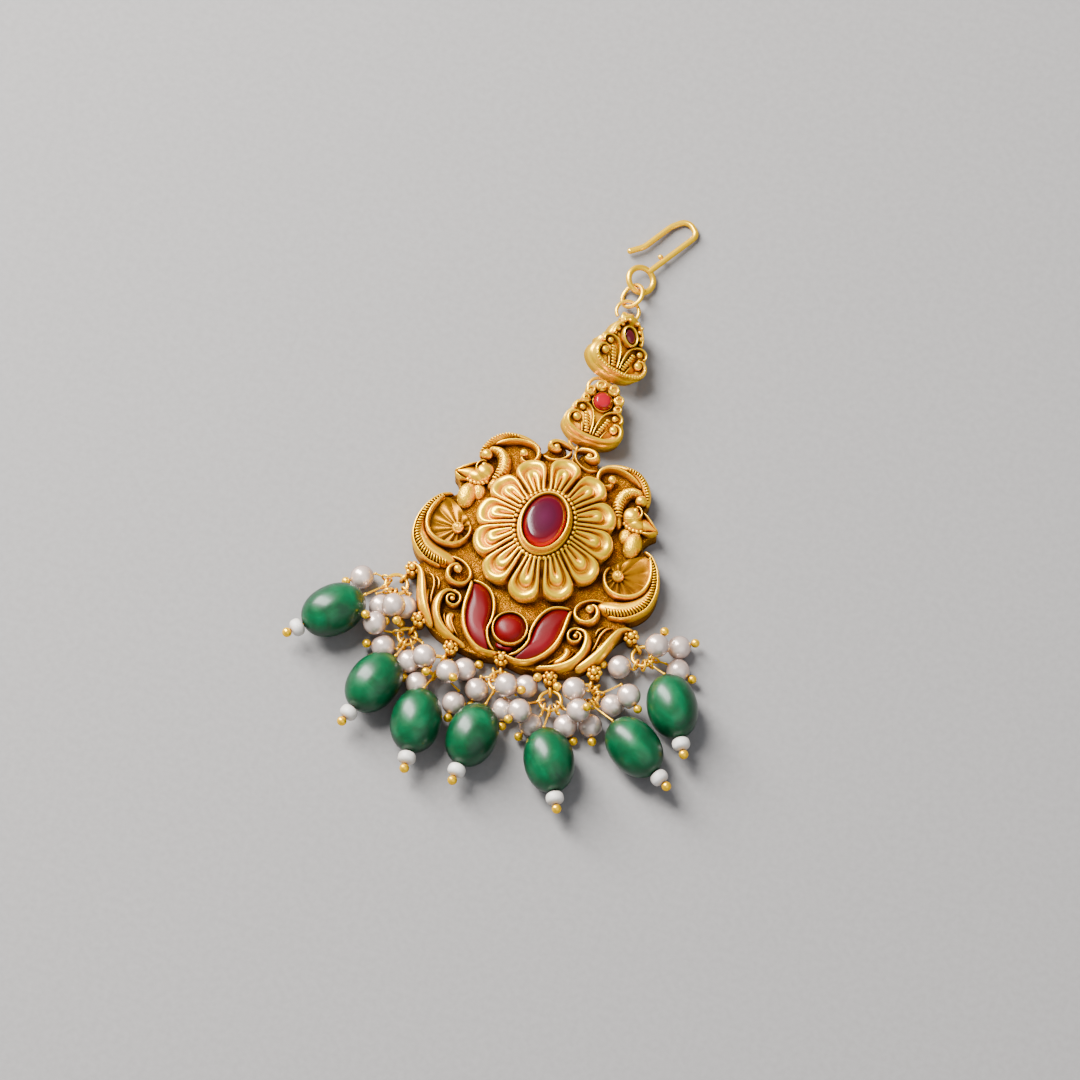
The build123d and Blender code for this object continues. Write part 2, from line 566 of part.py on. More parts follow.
# pearls: ring, x, y, z, heading and lift of the pin in degrees, place on the ring in degrees
PEARLS = [
    (1, -26.5, -16.4, 2.05, 214, 0, 165), (1, -19.4, -20.95, 5.75, 300, 0, 286),
    (1, -17.85, -19.3, 2.05, 270, -20, 338), (1, -21.9, -20.4, 2.05, 305, 0, 242),
    (2, -21.6, -24.3, 3.9, 175, 55, 178), (2, -19.2, -27.1, 2.05, 187, 0, 249),
    (2, -11.75, -27.8, 5.25, 295, 0, 8), (2, -14.3, -28.3, 2.05, 270, -20, 314),
    (3, -7.2, -29.1, 5.0, 315, 43, 40), (3, -5.1, -26.8, 2.05, 45, -15, 336),
    (3, -4.9, -33.0, 2.05, 268, 0, 314), (3, -11.75, -31.7, 2.05, 255, -20, 222),
    (4, -2.1, -29.6, 2.05, 268, -15, 190), (4, 2.73, -28.4, 5.2, 355, 10, 137),
    (4, 5.5, -26.5, 2.05, 45, 38, 335), (4, 3.3, -31.5, 2.05, 282, -15, 300),
    (5, 6.25, -32.2, 5.55, 245, 20, 200), (5, 8.4, -32.7, 2.05, 240, -15, 250),
    (5, 13.9, -31.1, 2.05, 318, -20, 317), (5, 15.45, -29.05, 5.4, 5, 59, 350),
    (6, 13.5, -25.3, 4.5, 190, 0, 56), (6, 22.5, -23.85, 5.1, 320, 0, 18),
    (6, 20.1, -25.2, 2.05, 23, 0, 330), (6, 17.8, -29.8, 2.05, 294, 0, 278),
    (7, 24.15, -13.9, 5.2, 81, 0, 290), (7, 27.4, -11.9, 2.05, 35, 0, 30),
    (7, 28.5, -15.9, 2.05, 345, 0, 358), (7, 19.1, -18.3, 2.05, 188, 0, 252),
]


def drop_ring_axes(x, y, direction, radius):
    """Middle of a drop ring and the two unit directions of its plane."""
    a = radians(direction)
    rise = (RING_OUT_Z - FINIAL_LOOP_Z) / (2 * radius)
    flat = sqrt(1 - rise ** 2)
    out = Vector(cos(a) * flat, sin(a) * flat, rise)
    side = Vector(-sin(a), cos(a), 0)
    start = Vector(x + FINIAL_LOOP_OUT * cos(a), y + FINIAL_LOOP_OUT * sin(a), FINIAL_LOOP_Z)
    return start + out * radius, out, side


RING_AXES = {name: drop_ring_axes(x, y, direction, radius) + (direction, radius)
             for name, x, y, direction, radius in FINIALS}


def drop_ring(name):
    middle, out, side, _, radius = RING_AXES[name]
    return ring(middle, out.cross(side), radius, RING_WIRE_R)


def on_ring(name, angle):
    """A point on a drop ring and the ring's direction there."""
    middle, out, side, direction, radius = RING_AXES[name]
    a = radians(angle - direction)
    point = middle + (out * cos(a) + side * sin(a)) * radius
    along = side * cos(a) - out * sin(a)
    return point, along


def pin(name, angle, knot, tip, ball_radius):
    """Head pin: a loop on the drop ring, a stem to a small knot, then the pin and its ball."""
    point, along = on_ring(name, angle)
    toward = (knot - point).normalized()
    centre = point + toward * 0.12
    normal = along - toward * along.dot(toward)
    stem_length = (knot - centre).length - 0.06
    eye = union([
        ring((0, 0, 0), (0, 0, 1), LOOP_R, LOOP_WIRE_R, begin=(-1, 0, 0)),
        rod((LOOP_R, 0, 0), (stem_length, 0, 0), PIN_R),
    ])
    shank = (tip - knot).length
    needle = union([
        ball(0, 0, 0, KNOT_R, (0, 1, 0), (1, 0, 0)),
        rod((0, 0, 0.06), (0, 0, shank), PIN_R),
        ball(0, 0, shank, ball_radius, (0, 1, 0), (1, 0, 0)),
    ])
    return union([
        Plane(origin=centre, x_dir=toward, z_dir=normal).location * eye,
        Plane(origin=knot, x_dir=toward.cross(tip - knot), z_dir=tip - knot).location * needle,
    ])


def drilled(half_width, half_length, power):
    """Bead about its own Z axis with a straight hole; a power of 2 gives a plain ellipse."""
    hole_end = (1 - (HOLE_R / half_width) ** power) ** (1 / power)
    count = 10
    points = []
    for i in range(-count, count + 1):
        s = sin(pi / 2 * i / count) * hole_end
        points.append((half_width * (1 - abs(s) ** power) ** (1 / power), 0, half_length * s))
    skin = Edge.make_spline(points)
    bore = Edge.make_line(points[-1], points[0])
    return revolve(Face(Wire([skin, bore])), Axis.Z, 360).solids()[0]


def pearl_drop(blank, name, x, y, z, heading, lift, angle):
    h = radians(heading)
    e = radians(lift)
    along = Vector(cos(e) * cos(h), cos(e) * sin(h), sin(e))
    centre = Vector(x, y, z)
    pearl = Plane(origin=centre, z_dir=along).location * blank
    knot = centre - along * (PEARL_R + KNOT_R + 2 * BEAD_GAP)
    tip = centre + along * (PEARL_R + PEARL_BALL_R + BEAD_GAP)
    return pearl, pin(name, angle, knot, tip, PEARL_BALL_R)


def bead_drop(blank, seed_blank, name, x, y, tip, angle):
    along = Vector(tip[0], tip[1], 0).normalized()
    centre = Vector(x, y, BEAD_REST_Z)
    bead = Plane(origin=centre, z_dir=along).location * blank
    seed_place = BEAD_HALF_LENGTH + BEAD_GAP + SEED_HALF_LENGTH
    seed = Plane(origin=centre + along * seed_place, z_dir=along).location * seed_blank
    knot = centre - along * (BEAD_HALF_LENGTH + KNOT_R + 2 * BEAD_GAP)
    end = centre + along * (seed_place + SEED_HALF_LENGTH + BEAD_BALL_R)
    return bead, seed, pin(name, angle, knot, end, BEAD_BALL_R)


def link_ring(v):
    middle = under_lower_link(RING_U, v)
    return ring(middle, LOWER_FRAME.z_dir, RING_R, RING_R_WIRE)


# ---- write every node --------------------------------------------------------------------
def build():
    nodes = {
        "hook": hook(),
        "upper_link": upper_link(),
        "upper_link_stone": upper_link_stone(),
        "ring_between_links": link_ring(HEAD_RING_V),
        "lower_link": lower_link(),
        "lower_link_stone": lower_link_stone(),
        "ring_to_pendant": link_ring(FOOT_RING_V),
        "pendant": pendant(),
        "centre_stone": oval_stone(),
        "lotus_petal_right": lotus_petal_stone(1),
        "lotus_petal_left": lotus_petal_stone(-1),
        "lotus_round_stone": lotus_round_stone(),
        "lotus_base_petal": prism(BASE_STONE, PLATE_TOP + FIT, 4.1),
    }
    for name, values in CHAIN_RINGS.items():
        nodes[name] = chain_ring(*values)
    bead_blank = drilled(BEAD_HALF_WIDTH, BEAD_HALF_LENGTH, BEAD_FULLNESS)
    seed_blank = drilled(SEED_HALF_WIDTH, SEED_HALF_LENGTH, SEED_FULLNESS)
    pearl_blank = drilled(PEARL_R, PEARL_R, 2)
    for name, x, y, tip, angle in BEADS:
        nodes[f"drop_ring_{name}"] = drop_ring(name)
        bead, seed, bead_pin = bead_drop(bead_blank, seed_blank, name, x, y, tip, angle)
        nodes[f"green_bead_{name}"] = bead
        nodes[f"seed_bead_{name}"] = seed
        nodes[f"bead_pin_{name}"] = bead_pin
        pearls = []
        pins = []
        for row in PEARLS:
            if row[0] == name:
                pearl, one_pin = pearl_drop(pearl_blank, *row)
                pearls.append(pearl)
                pins.append(one_pin)
        nodes[f"pearls_{name}"] = Compound(children=pearls)
        nodes[f"pearl_pins_{name}"] = Compound(children=pins)
    return nodes


os.makedirs("parts", exist_ok=True)
for node, shape in build().items():
    export_step(shape, f"parts/{node}.step")
    print(node, "volume", round(shape.volume, 2))
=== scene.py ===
# %% [markdown]
# # A maang tikka, piece by piece
# This jewel is worn on the forehead: a cast gilt pendant hangs from two cast links and a hair
# hook, with a fringe of oval beads and pearls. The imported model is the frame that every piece
# is set into, so it is loaded first and never moved.

# %% Load the frame and measure it
from math import atan2, cos, hypot, pi, radians, sin, sqrt

import bmesh
import bpy
from mathutils import Matrix, Vector


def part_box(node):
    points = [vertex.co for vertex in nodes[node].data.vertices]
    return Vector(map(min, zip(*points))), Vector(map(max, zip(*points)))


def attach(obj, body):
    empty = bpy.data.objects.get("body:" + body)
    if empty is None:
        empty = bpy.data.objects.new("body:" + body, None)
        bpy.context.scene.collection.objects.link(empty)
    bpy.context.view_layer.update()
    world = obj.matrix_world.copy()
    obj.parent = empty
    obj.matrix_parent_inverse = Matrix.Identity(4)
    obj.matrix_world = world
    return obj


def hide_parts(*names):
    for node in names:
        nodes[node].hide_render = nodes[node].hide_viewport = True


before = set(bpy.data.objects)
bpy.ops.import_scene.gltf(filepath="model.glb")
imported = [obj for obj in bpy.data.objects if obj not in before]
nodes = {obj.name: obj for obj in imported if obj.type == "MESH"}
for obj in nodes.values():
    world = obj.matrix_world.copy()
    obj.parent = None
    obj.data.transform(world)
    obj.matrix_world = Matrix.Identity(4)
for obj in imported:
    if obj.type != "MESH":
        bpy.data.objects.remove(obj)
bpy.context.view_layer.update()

MM = 0.001

# %% [markdown]
# ## Lines with a width and a height
# A caster's ornament is mostly ridges that swell and thin out. A row of a few points can hold
# the place, width and height of such a ridge; a Catmull-Rom line runs smoothly through them,
# and carries the width and the height along with the place.

# %% A smooth line through rows of numbers
def smooth(rows, steps=6, closed=False):
    """Rows of any length, with `steps` pieces between each two."""
    rows = [tuple(row) for row in rows]
    if closed:
        ends = [rows[-1]] + rows + [rows[0], rows[1]]
    else:
        ends = [rows[0]] + rows + [rows[-1]]
    line = []
    for a, b, c, d in zip(ends, ends[1:], ends[2:], ends[3:]):
        for i in range(steps):
            t = i / steps
            line.append(tuple(
                0.5 * (2 * q + (r - p) * t + (2 * p - 5 * q + 4 * r - s) * t ** 2
                       + (3 * q - p - 3 * r + s) * t ** 3)
                for p, q, r, s in zip(a, b, c, d)))
    line.append(line[0] if closed else rows[-1])
    return line


print("a line of", len(smooth([(0, 0), (1, 2), (3, 3)])), "rows from three")

# %% [markdown]
# ## Bars, balls and finished pieces
# A bar is a flat grid rolled round and bent along its line, then welded at the seam and at
# both ends. A curve object with a bevel would give a round wire, but not a ridge that is wider
# than it is high and fades into the ground, so the grid's own points are moved instead.

# %% Roll a grid into a bar
def bar(mesh, rows, width=0.5, top=4.5, base=2.9, sides=10, steps=5, closed=False, fade=None,
        lean=0.0):
    """A closed ridge. Rows are (x, y), (x, y, width) or (x, y, width, top), in millimetres.

    Its ends fade out over `fade`; `lean` moves its crest towards its right-hand side."""
    full = [tuple(row) + (width, top)[len(row) - 2:] for row in rows]
    line = smooth(full, steps, closed)
    last = len(line) - 1
    reach = [0.0]
    for a, b in zip(line, line[1:]):
        reach.append(reach[-1] + hypot(b[0] - a[0], b[1] - a[1]))
    made = bmesh.ops.create_grid(mesh, x_segments=sides, y_segments=last, size=1)["verts"]
    for vert in made:
        i = round((vert.co.y + 1) / 2 * last)
        turn = (vert.co.x + 1) * pi
        x, y, wide, high = line[i]
        if closed:
            before, after = line[(i - 1) % last], line[(i + 1) % last]
        else:
            before, after = line[max(i - 1, 0)], line[min(i + 1, last)]
        run = hypot(after[0] - before[0], after[1] - before[1]) or 1
        ease = 1.0
        if not closed:
            near = min(reach[i], reach[last] - reach[i]) / (fade or wide * 0.6)
            ease = sqrt(max(0.0, 1 - (1 - min(near, 1)) ** 2))
        rise = (high - base) * ease * sin(turn)
        across = wide / 2 * ease * (cos(turn) - lean * max(sin(turn), 0))
        if rise < 0:
            rise *= 0.3
        vert.co = (x - (after[1] - before[1]) / run * across,
                   y + (after[0] - before[0]) / run * across, base + rise)
    bmesh.ops.remove_doubles(mesh, verts=made, dist=1e-4)


def ball(mesh, x, y, z, radius, detail=3, squash=(1, 1, 1)):
    place = Matrix.Translation((x, y, z)) @ Matrix.Diagonal((*squash, 1))
    return bmesh.ops.create_icosphere(mesh, subdivisions=detail, radius=radius,
                                      matrix=place)["verts"]


trial = bmesh.new()
bar(trial, [(0, 0), (2, 1), (4, 0)])
print("a short bar has", len(trial.verts), "points")
trial.free()


# %% Turn a mesh in millimetres into a piece of the jewel
def piece(name, mesh, material, replaces=(), smooth_faces=True):
    """The finished object sits at the origin, with its place in its mesh, in metres."""
    bmesh.ops.scale(mesh, vec=(MM, MM, MM), verts=mesh.verts)
    bmesh.ops.recalc_face_normals(mesh, faces=mesh.faces)
    data = bpy.data.meshes.new(name)
    mesh.to_mesh(data)
    mesh.free()
    for polygon in data.polygons:
        polygon.use_smooth = smooth_faces
    data.materials.append(material)
    made = bpy.data.objects.new(name, data)
    bpy.context.scene.collection.objects.link(made)
    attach(made, "root")
    if replaces:
        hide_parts(*replaces)
    data.calc_loop_triangles()
    print(name, len(data.loop_triangles), "triangles")


print("pieces are drawn in millimetres and scaled by", MM)

# %% [markdown]
# ## Gilt: how the metal is coloured
# Antique gilt is bright where fingers rub it and brown where dirt and old lacquer stay. The
# hollows could be painted by hand, but ambient occlusion already knows where the metal is
# enclosed. One node group turns that, with two sizes of noise, into a colour and a roughness, so
# the casting, its ground and the links share one patina with their own values. What the occlusion
# paints is partly that patina and wear and partly painted shade: darker in the recesses, lighter
# on open metal.

# %% Small helpers for shader nodes
def new_material(name):
    material = bpy.data.materials.new(name)
    material.use_nodes = True
    tree = material.node_tree
    return material, tree, tree.nodes["Principled BSDF"]


def fill(node, sockets):
    """Give a node's sockets a value each, or join them to another node's output."""
    for key, value in sockets.items():
        if isinstance(value, bpy.types.NodeSocket):
            node.id_data.links.new(value, node.inputs[key])
        else:
            node.inputs[key].default_value = value


def add(tree, kind, sockets=None, **settings):
    """A new node, with its sockets filled and its other settings given by keyword."""
    node = tree.nodes.new(kind)
    for key, value in settings.items():
        setattr(node, key, value)
    fill(node, sockets or {})
    return node


def texture(tree, kind="Noise", **sockets):
    """A texture laid on the object's own coordinates."""
    place = add(tree, "ShaderNodeTexCoord").outputs["Object"]
    return add(tree, "ShaderNodeTex" + kind, {"Vector": place, **sockets})


def mix(tree, factor, first, second, blend="MIX"):
    """Two colours mixed, each a value or another node's output."""
    node = add(tree, "ShaderNodeMix", {0: factor, 6: first, 7: second}, data_type="RGBA",
               blend_type=blend)
    return node.outputs[2]


def ramp(tree, source, stops):
    """A colour ramp from (place, colour) pairs, fed by one value."""
    node = add(tree, "ShaderNodeValToRGB", {"Fac": source})
    elements = node.color_ramp.elements
    while len(elements) < len(stops):
        elements.new(0.5)
    for element, (place, colour) in zip(elements, stops):
        element.position = place
        element.color = (*colour, 1)
    return node.outputs["Color"]


print("shader helpers: fill, add, texture, mix, ramp")


# %% The patina and painted shade group
def patina_and_shade_group():
    group = bpy.data.node_groups.new("antique patina", "ShaderNodeTree")
    for name, kind, value in (
        ("Depth", "NodeSocketFloat", 0.0012), ("Dirt", "NodeSocketFloat", 1.0),
        ("Mottle Scale", "NodeSocketFloat", 700.0), ("Grain Scale", "NodeSocketFloat", 5000.0),
        ("Bright", "NodeSocketColor", (0.93, 0.62, 0.2, 1)),
        ("Middle", "NodeSocketColor", (0.55, 0.25, 0.045, 1)),
        ("Deep", "NodeSocketColor", (0.1, 0.025, 0.004, 1)),
    ):
        group.interface.new_socket(name, in_out="INPUT", socket_type=kind).default_value = value
    group.interface.new_socket("Color", in_out="OUTPUT", socket_type="NodeSocketColor")
    group.interface.new_socket("Roughness", in_out="OUTPUT", socket_type="NodeSocketFloat")
    group.interface.new_socket("Height", in_out="OUTPUT", socket_type="NodeSocketFloat")
    source = add(group, "NodeGroupInput").outputs
    mottle = texture(group, Scale=source["Mottle Scale"], Detail=5).outputs["Fac"]
    grain = texture(group, Scale=source["Grain Scale"], Detail=3).outputs["Fac"]
    # ambient occlusion darkens the colour in hollows: partly patina, partly painted shade
    hollow = add(group, "ShaderNodeAmbientOcclusion", {"Distance": source["Depth"]}, samples=8)
    spread = add(group, "ShaderNodeMath", {0: mottle, 1: 0.5, 2: -0.25},
                 operation="MULTIPLY_ADD")
    level = add(group, "ShaderNodeMath", {0: hollow.outputs["AO"], 1: spread.outputs[0]},
                operation="ADD")
    open_share = add(group, "ShaderNodeMapRange", {"Value": level.outputs[0], "From Min": 0.3,
                                              "From Max": 0.92})
    power = add(group, "ShaderNodeMath", {0: open_share.outputs["Result"], 1: source["Dirt"]},
                operation="POWER").outputs[0]
    low, high, rough = [
        add(group, "ShaderNodeMapRange", {"Value": power, **ends}).outputs["Result"]
        for ends in ({"From Max": 0.5}, {"From Min": 0.45}, {"To Min": 0.6, "To Max": 0.3})]
    colour = mix(group, low, source["Deep"], source["Middle"])
    colour = mix(group, high, colour, source["Bright"])
    add(group, "NodeGroupOutput", {"Color": colour, "Roughness": rough, "Height": grain})
    return group


patina_and_shade = patina_and_shade_group()
print("patina inputs", [item.name for item in patina_and_shade.interface.items_tree])


# %% The cast gilt, the stippled ground and the bright wire
SKIN = 0.00005             # depth of a metal's or a pearl's skin, in metres
STIPPLE = 0.00022


def cast_gold(name, bump, metallic, bright, middle, deep, stipple=0.0, **values):
    """Gilt with the colours of the patina and painted shade; stipple presses a granular ground
    into it.
    """
    material, tree, shader = new_material(name)
    worn_and_shaded = add(tree, "ShaderNodeGroup", {"Bright": (*bright, 1), "Middle": (*middle, 1),
                                         "Deep": (*deep, 1), **values},
               node_tree=patina_and_shade).outputs
    relief = add(tree, "ShaderNodeBump", {"Strength": bump, "Distance": SKIN,
                                          "Height": worn_and_shaded["Height"]})
    if stipple:
        cells = texture(tree, "Voronoi", Scale=4200)
        relief = add(tree, "ShaderNodeBump", {"Strength": stipple, "Distance": STIPPLE,
                                              "Height": cells.outputs["Distance"],
                                              "Normal": relief.outputs["Normal"]},
                     invert=True)
    fill(shader, {"Base Color": worn_and_shaded["Color"], "Metallic": metallic,
                  "Roughness": worn_and_shaded["Roughness"], "Specular Tint": (1.0, 0.62, 0.05, 1),
                  "Normal": relief.outputs["Normal"]})
    return material


# each finish: bump, metallic, then its rubbed, middle and deep colours; the rubbed colour is also
# painted light on open metal, and the deep one is also painted shade in hollows
gilt = cast_gold("cast gilt", 0.25, 0.8, (1.0, 0.59, 0.0), (0.72, 0.28, 0.0), (0.1, 0.02, 0.0),
                 Dirt=1.5, Depth=0.0015)
feather_gilt = cast_gold("stippled gilt feathers", 0.4, 0.8, (1.0, 0.59, 0.0), (0.72, 0.28, 0.0),
                         (0.1, 0.02, 0.0), stipple=0.4, Dirt=1.3)
# the flower and its grains get a lighter gilt than the cast gilt
bright_gilt = cast_gold("lighter gilt of the flower", 0.2, 0.75, (1.0, 0.64, 0.0), (0.8, 0.36, 0.0),
                        (0.17, 0.038, 0.0), Dirt=1.2)
link_gilt = cast_gold("gilt of the links", 0.25, 0.8, (1.0, 0.62, 0.0), (0.78, 0.34, 0.0),
                      (0.15, 0.036, 0.0), Dirt=0.8, Depth=0.0013)
ground_gilt = cast_gold("stippled gilt ground", 0.6, 0.7, (0.34, 0.14, 0.0),
                        (0.13, 0.042, 0.0), (0.03, 0.006, 0.0), stipple=1.0, Dirt=1.6)
# the shells' gilt is darker all over: patina and painted shade in the hollow of the shells
deep_gilt = cast_gold("smooth gilt in the shells", 0.3, 0.6, (0.32, 0.13, 0.0),
                      (0.12, 0.04, 0.0), (0.03, 0.006, 0.0), Dirt=1.5, Depth=0.0022)
wire_gilt = cast_gold("bright gilt wire", 0.08, 0.75, (1.0, 0.58, 0.0), (0.78, 0.36, 0.0),
                      (0.25, 0.08, 0.0), Dirt=0.6, Depth=0.0006)
print("metals", gilt.name, ground_gilt.name, wire_gilt.name)

# %% [markdown]
# ## Pendant: the plate
# The casting's outline is a wavy cartouche. Its outline is a single face pushed down to the
# flat back, with its upper edge rounded over, because a cast edge is never sharp.

# %% Outline and plate
# right half of the outline, from the top down
OUTLINE = [
    (0, 13.4), (0.9, 14.1), (1.3, 15.6), (2.6, 16.5), (4, 15.9), (4.5, 14.6), (5.1, 14), (6, 14.6),
    (8, 15.3), (10.5, 15.3), (12.6, 14.3), (14, 12.9), (14.8, 11), (14.6, 9.6), (15.3, 8.2),
    (17.7, 6), (16.9, 4.9), (16.2, 3.6), (16.4, 2.3), (17.9, 1.7), (19.6, 0.1), (20.7, -2.4),
    (21.3, -5), (20.8, -7.7), (19.4, -9.7), (17.6, -11), (19.3, -12.2), (18, -13.2), (16.9, -15),
    (16.1, -17.5), (15.1, -19.3), (13.6, -21.1), (11.6, -22.5), (9, -23.4), (6, -23.9),
    (3.5, -24.1), (0, -23.6),
]
GROUND = 3.1               # height of the plate
EDGE_ROUND = 0.35
INSET = 0.995              # keeps the plate's side just under the ridges that cover it


def slab(mesh, half, height):
    """A flat slab with its back at z = 0, from the right half of its outline."""
    line = smooth(half + [(-x, y) for x, y in half[-2:0:-1]], 4, closed=True)[:-1]
    face = mesh.faces.new([mesh.verts.new((x, y, height)) for x, y in line])
    walls = bmesh.ops.extrude_face_region(mesh, geom=[face])["geom"]
    down = [item for item in walls if isinstance(item, bmesh.types.BMVert)]
    bmesh.ops.translate(mesh, vec=(0, 0, -height), verts=down)


plate = bmesh.new()
slab(plate, [(x * INSET, y * INSET) for x, y in OUTLINE], GROUND)
upper_edge = [edge for edge in plate.edges
              if all(abs(vert.co.z - GROUND) < 1e-6 for vert in edge.verts)]
bmesh.ops.bevel(plate, geom=upper_edge, offset=EDGE_ROUND, offset_type="OFFSET", segments=3,
                affect="EDGES", profile=0.5, material=-1, clamp_overlap=True)
piece("pendant_plate", plate, ground_gilt, ["pendant"], smooth_faces=False)

# %% [markdown]
# ## Pendant: the flower
# Twelve petals rise to the stone. Seen across, each one goes from a split tongue in the
# middle, down into a groove, and up over a broad round rim. A grid laid from the tongue's
# slit out to the edge follows that form exactly, so its points lift by one short profile.

# %% Petals
PETALS = 12
REACH = (11.9, 13.4)       # half axes of the flower and of the ring of grains
GRAIN_RING = (5.0, 6.2)
ROOT_Z, TIP_Z = 7.2, 4.55
DOMED = 0.4                # how far a petal bulges between its root and its tip
# across a petal, from its slit to its edge: share of the way out, height, height at its side
PROFILE = [(0, 0.3, 0.3), (0.05, 0.48, 0.48), (0.12, 0.74, 0.74), (0.22, 0.86, 0.86),
           (0.32, 0.82, 0.82), (0.39, 0.5, 0.5), (0.44, -0.05, 0.05), (0.5, -0.25, -0.1),
           (0.55, -0.1, 0), (0.6, 0.3, 0.3), (0.68, 0.68, 0.54), (0.76, 0.86, 0.64),
           (0.84, 0.82, 0.6), (0.92, 0.58, 0.46), (0.97, 0.2, 0.2), (1, -0.3, -0.1),
           (1.02, -1.8, -1.3)]


def out_to(half_axes, c, s):
    """How far out an oval lies, in the direction with this cosine and sine."""
    return 1 / sqrt((c / half_axes[0]) ** 2 + (s / half_axes[1]) ** 2)


def petal(mesh, angle):
    c, s = cos(angle), sin(angle)
    root = out_to(GRAIN_RING, c, s) - 0.2
    reach = out_to(REACH, c, s)
    out = Vector((c * (reach - root), s * (reach - root), TIP_Z - ROOT_Z))
    side = Vector((-s, c, 0))
    up = out.cross(side).normalized()
    long = out.length
    out.normalize()
    outer = [(0.0, 1.3), (long * 0.28, 1.82), (long * 0.5, 2.32), (long * 0.67, 2.6),
             (long * 0.82, 2.4), (long * 0.94, 1.5), (long, 0.0)]
    inner = [(0.3, 0.04), (long * 0.12, 0.06), (long * 0.22, 0.08), (long * 0.32, 0.08),
             (long * 0.37, 0.06), (long * 0.39, 0.03), (long * 0.4, 0.0)]
    outer = smooth(outer + [(x, -y) for x, y in outer[-2::-1]], 3)
    inner = smooth(inner + [(x, -y) for x, y in inner[-2::-1]], 3)
    last = len(outer) - 1
    made = bmesh.ops.create_grid(mesh, x_segments=last, y_segments=len(PROFILE) - 1,
                                 size=1)["verts"]
    for vert in made:
        i = round((vert.co.x + 1) / 2 * last)
        share, at_tip, at_side = PROFILE[round((vert.co.y + 1) / 2 * (len(PROFILE) - 1))]
        along = inner[i][0] + (outer[i][0] - inner[i][0]) * share
        across = inner[i][1] + (outer[i][1] - inner[i][1]) * share
        tip = min(max(outer[i][0] / long - 0.55, 0) / 0.3, 1)
        height = at_side + (at_tip - at_side) * tip
        bend = DOMED * sin(pi * min(max(along / long, 0), 1))
        vert.co = (Vector((c * root, s * root, ROOT_Z)) + out * along + side * across
                   + up * (height + bend))


flower = bmesh.new()
for i in range(PETALS):
    petal(flower, pi / 2 + i * 2 * pi / PETALS)
piece("flower_petals", flower, bright_gilt)

# %% [markdown]
# ## Pendant: grains and the stone's bezel
# A ring of small grains hides the join between the petals and the bezel. The grains are
# balls with few faces, since there are many of them and each is barely a millimetre wide. A
# low cone under the petals closes the gaps between them, and two plain rings hold the stone.

# %% Grains and bezel
GRAINS, GRAIN_R = 42, 0.4


def oval(half_x, half_y, count, *rest):
    return [(half_x * cos(2 * pi * i / count), half_y * sin(2 * pi * i / count), *rest)
            for i in range(count)]


setting = bmesh.new()
bmesh.ops.create_cone(setting, segments=64, radius1=10.2, radius2=5.2, depth=4.2,
                      cap_ends=True, matrix=Matrix.Translation((0, 0, 5.05)))
bmesh.ops.scale(setting, vec=(1, 12.2 / 10.3, 1), verts=setting.verts)
for x, y in oval(*GRAIN_RING, GRAINS):
    ball(setting, x, y, ROOT_Z + 0.25, GRAIN_R, 2)
bezel = bmesh.new()
bar(bezel, oval(3.88, 5.18, 40, 0.8, 9.45), base=7.6, closed=True, steps=2, sides=16)
bar(bezel, oval(4.25, 5.55, 40, 0.55, 8.2), base=7.2, closed=True, steps=2)
piece("grains_and_cone", setting, bright_gilt)
piece("bezel", bezel, wire_gilt)

# %% [markdown]
# ## Pendant: scrolls, leaves and rims
# The ridges are drawn once for the right half and laid again, mirrored, on the left. Each
# row is x, y and, where the ridge swells or thins, its width and its height.

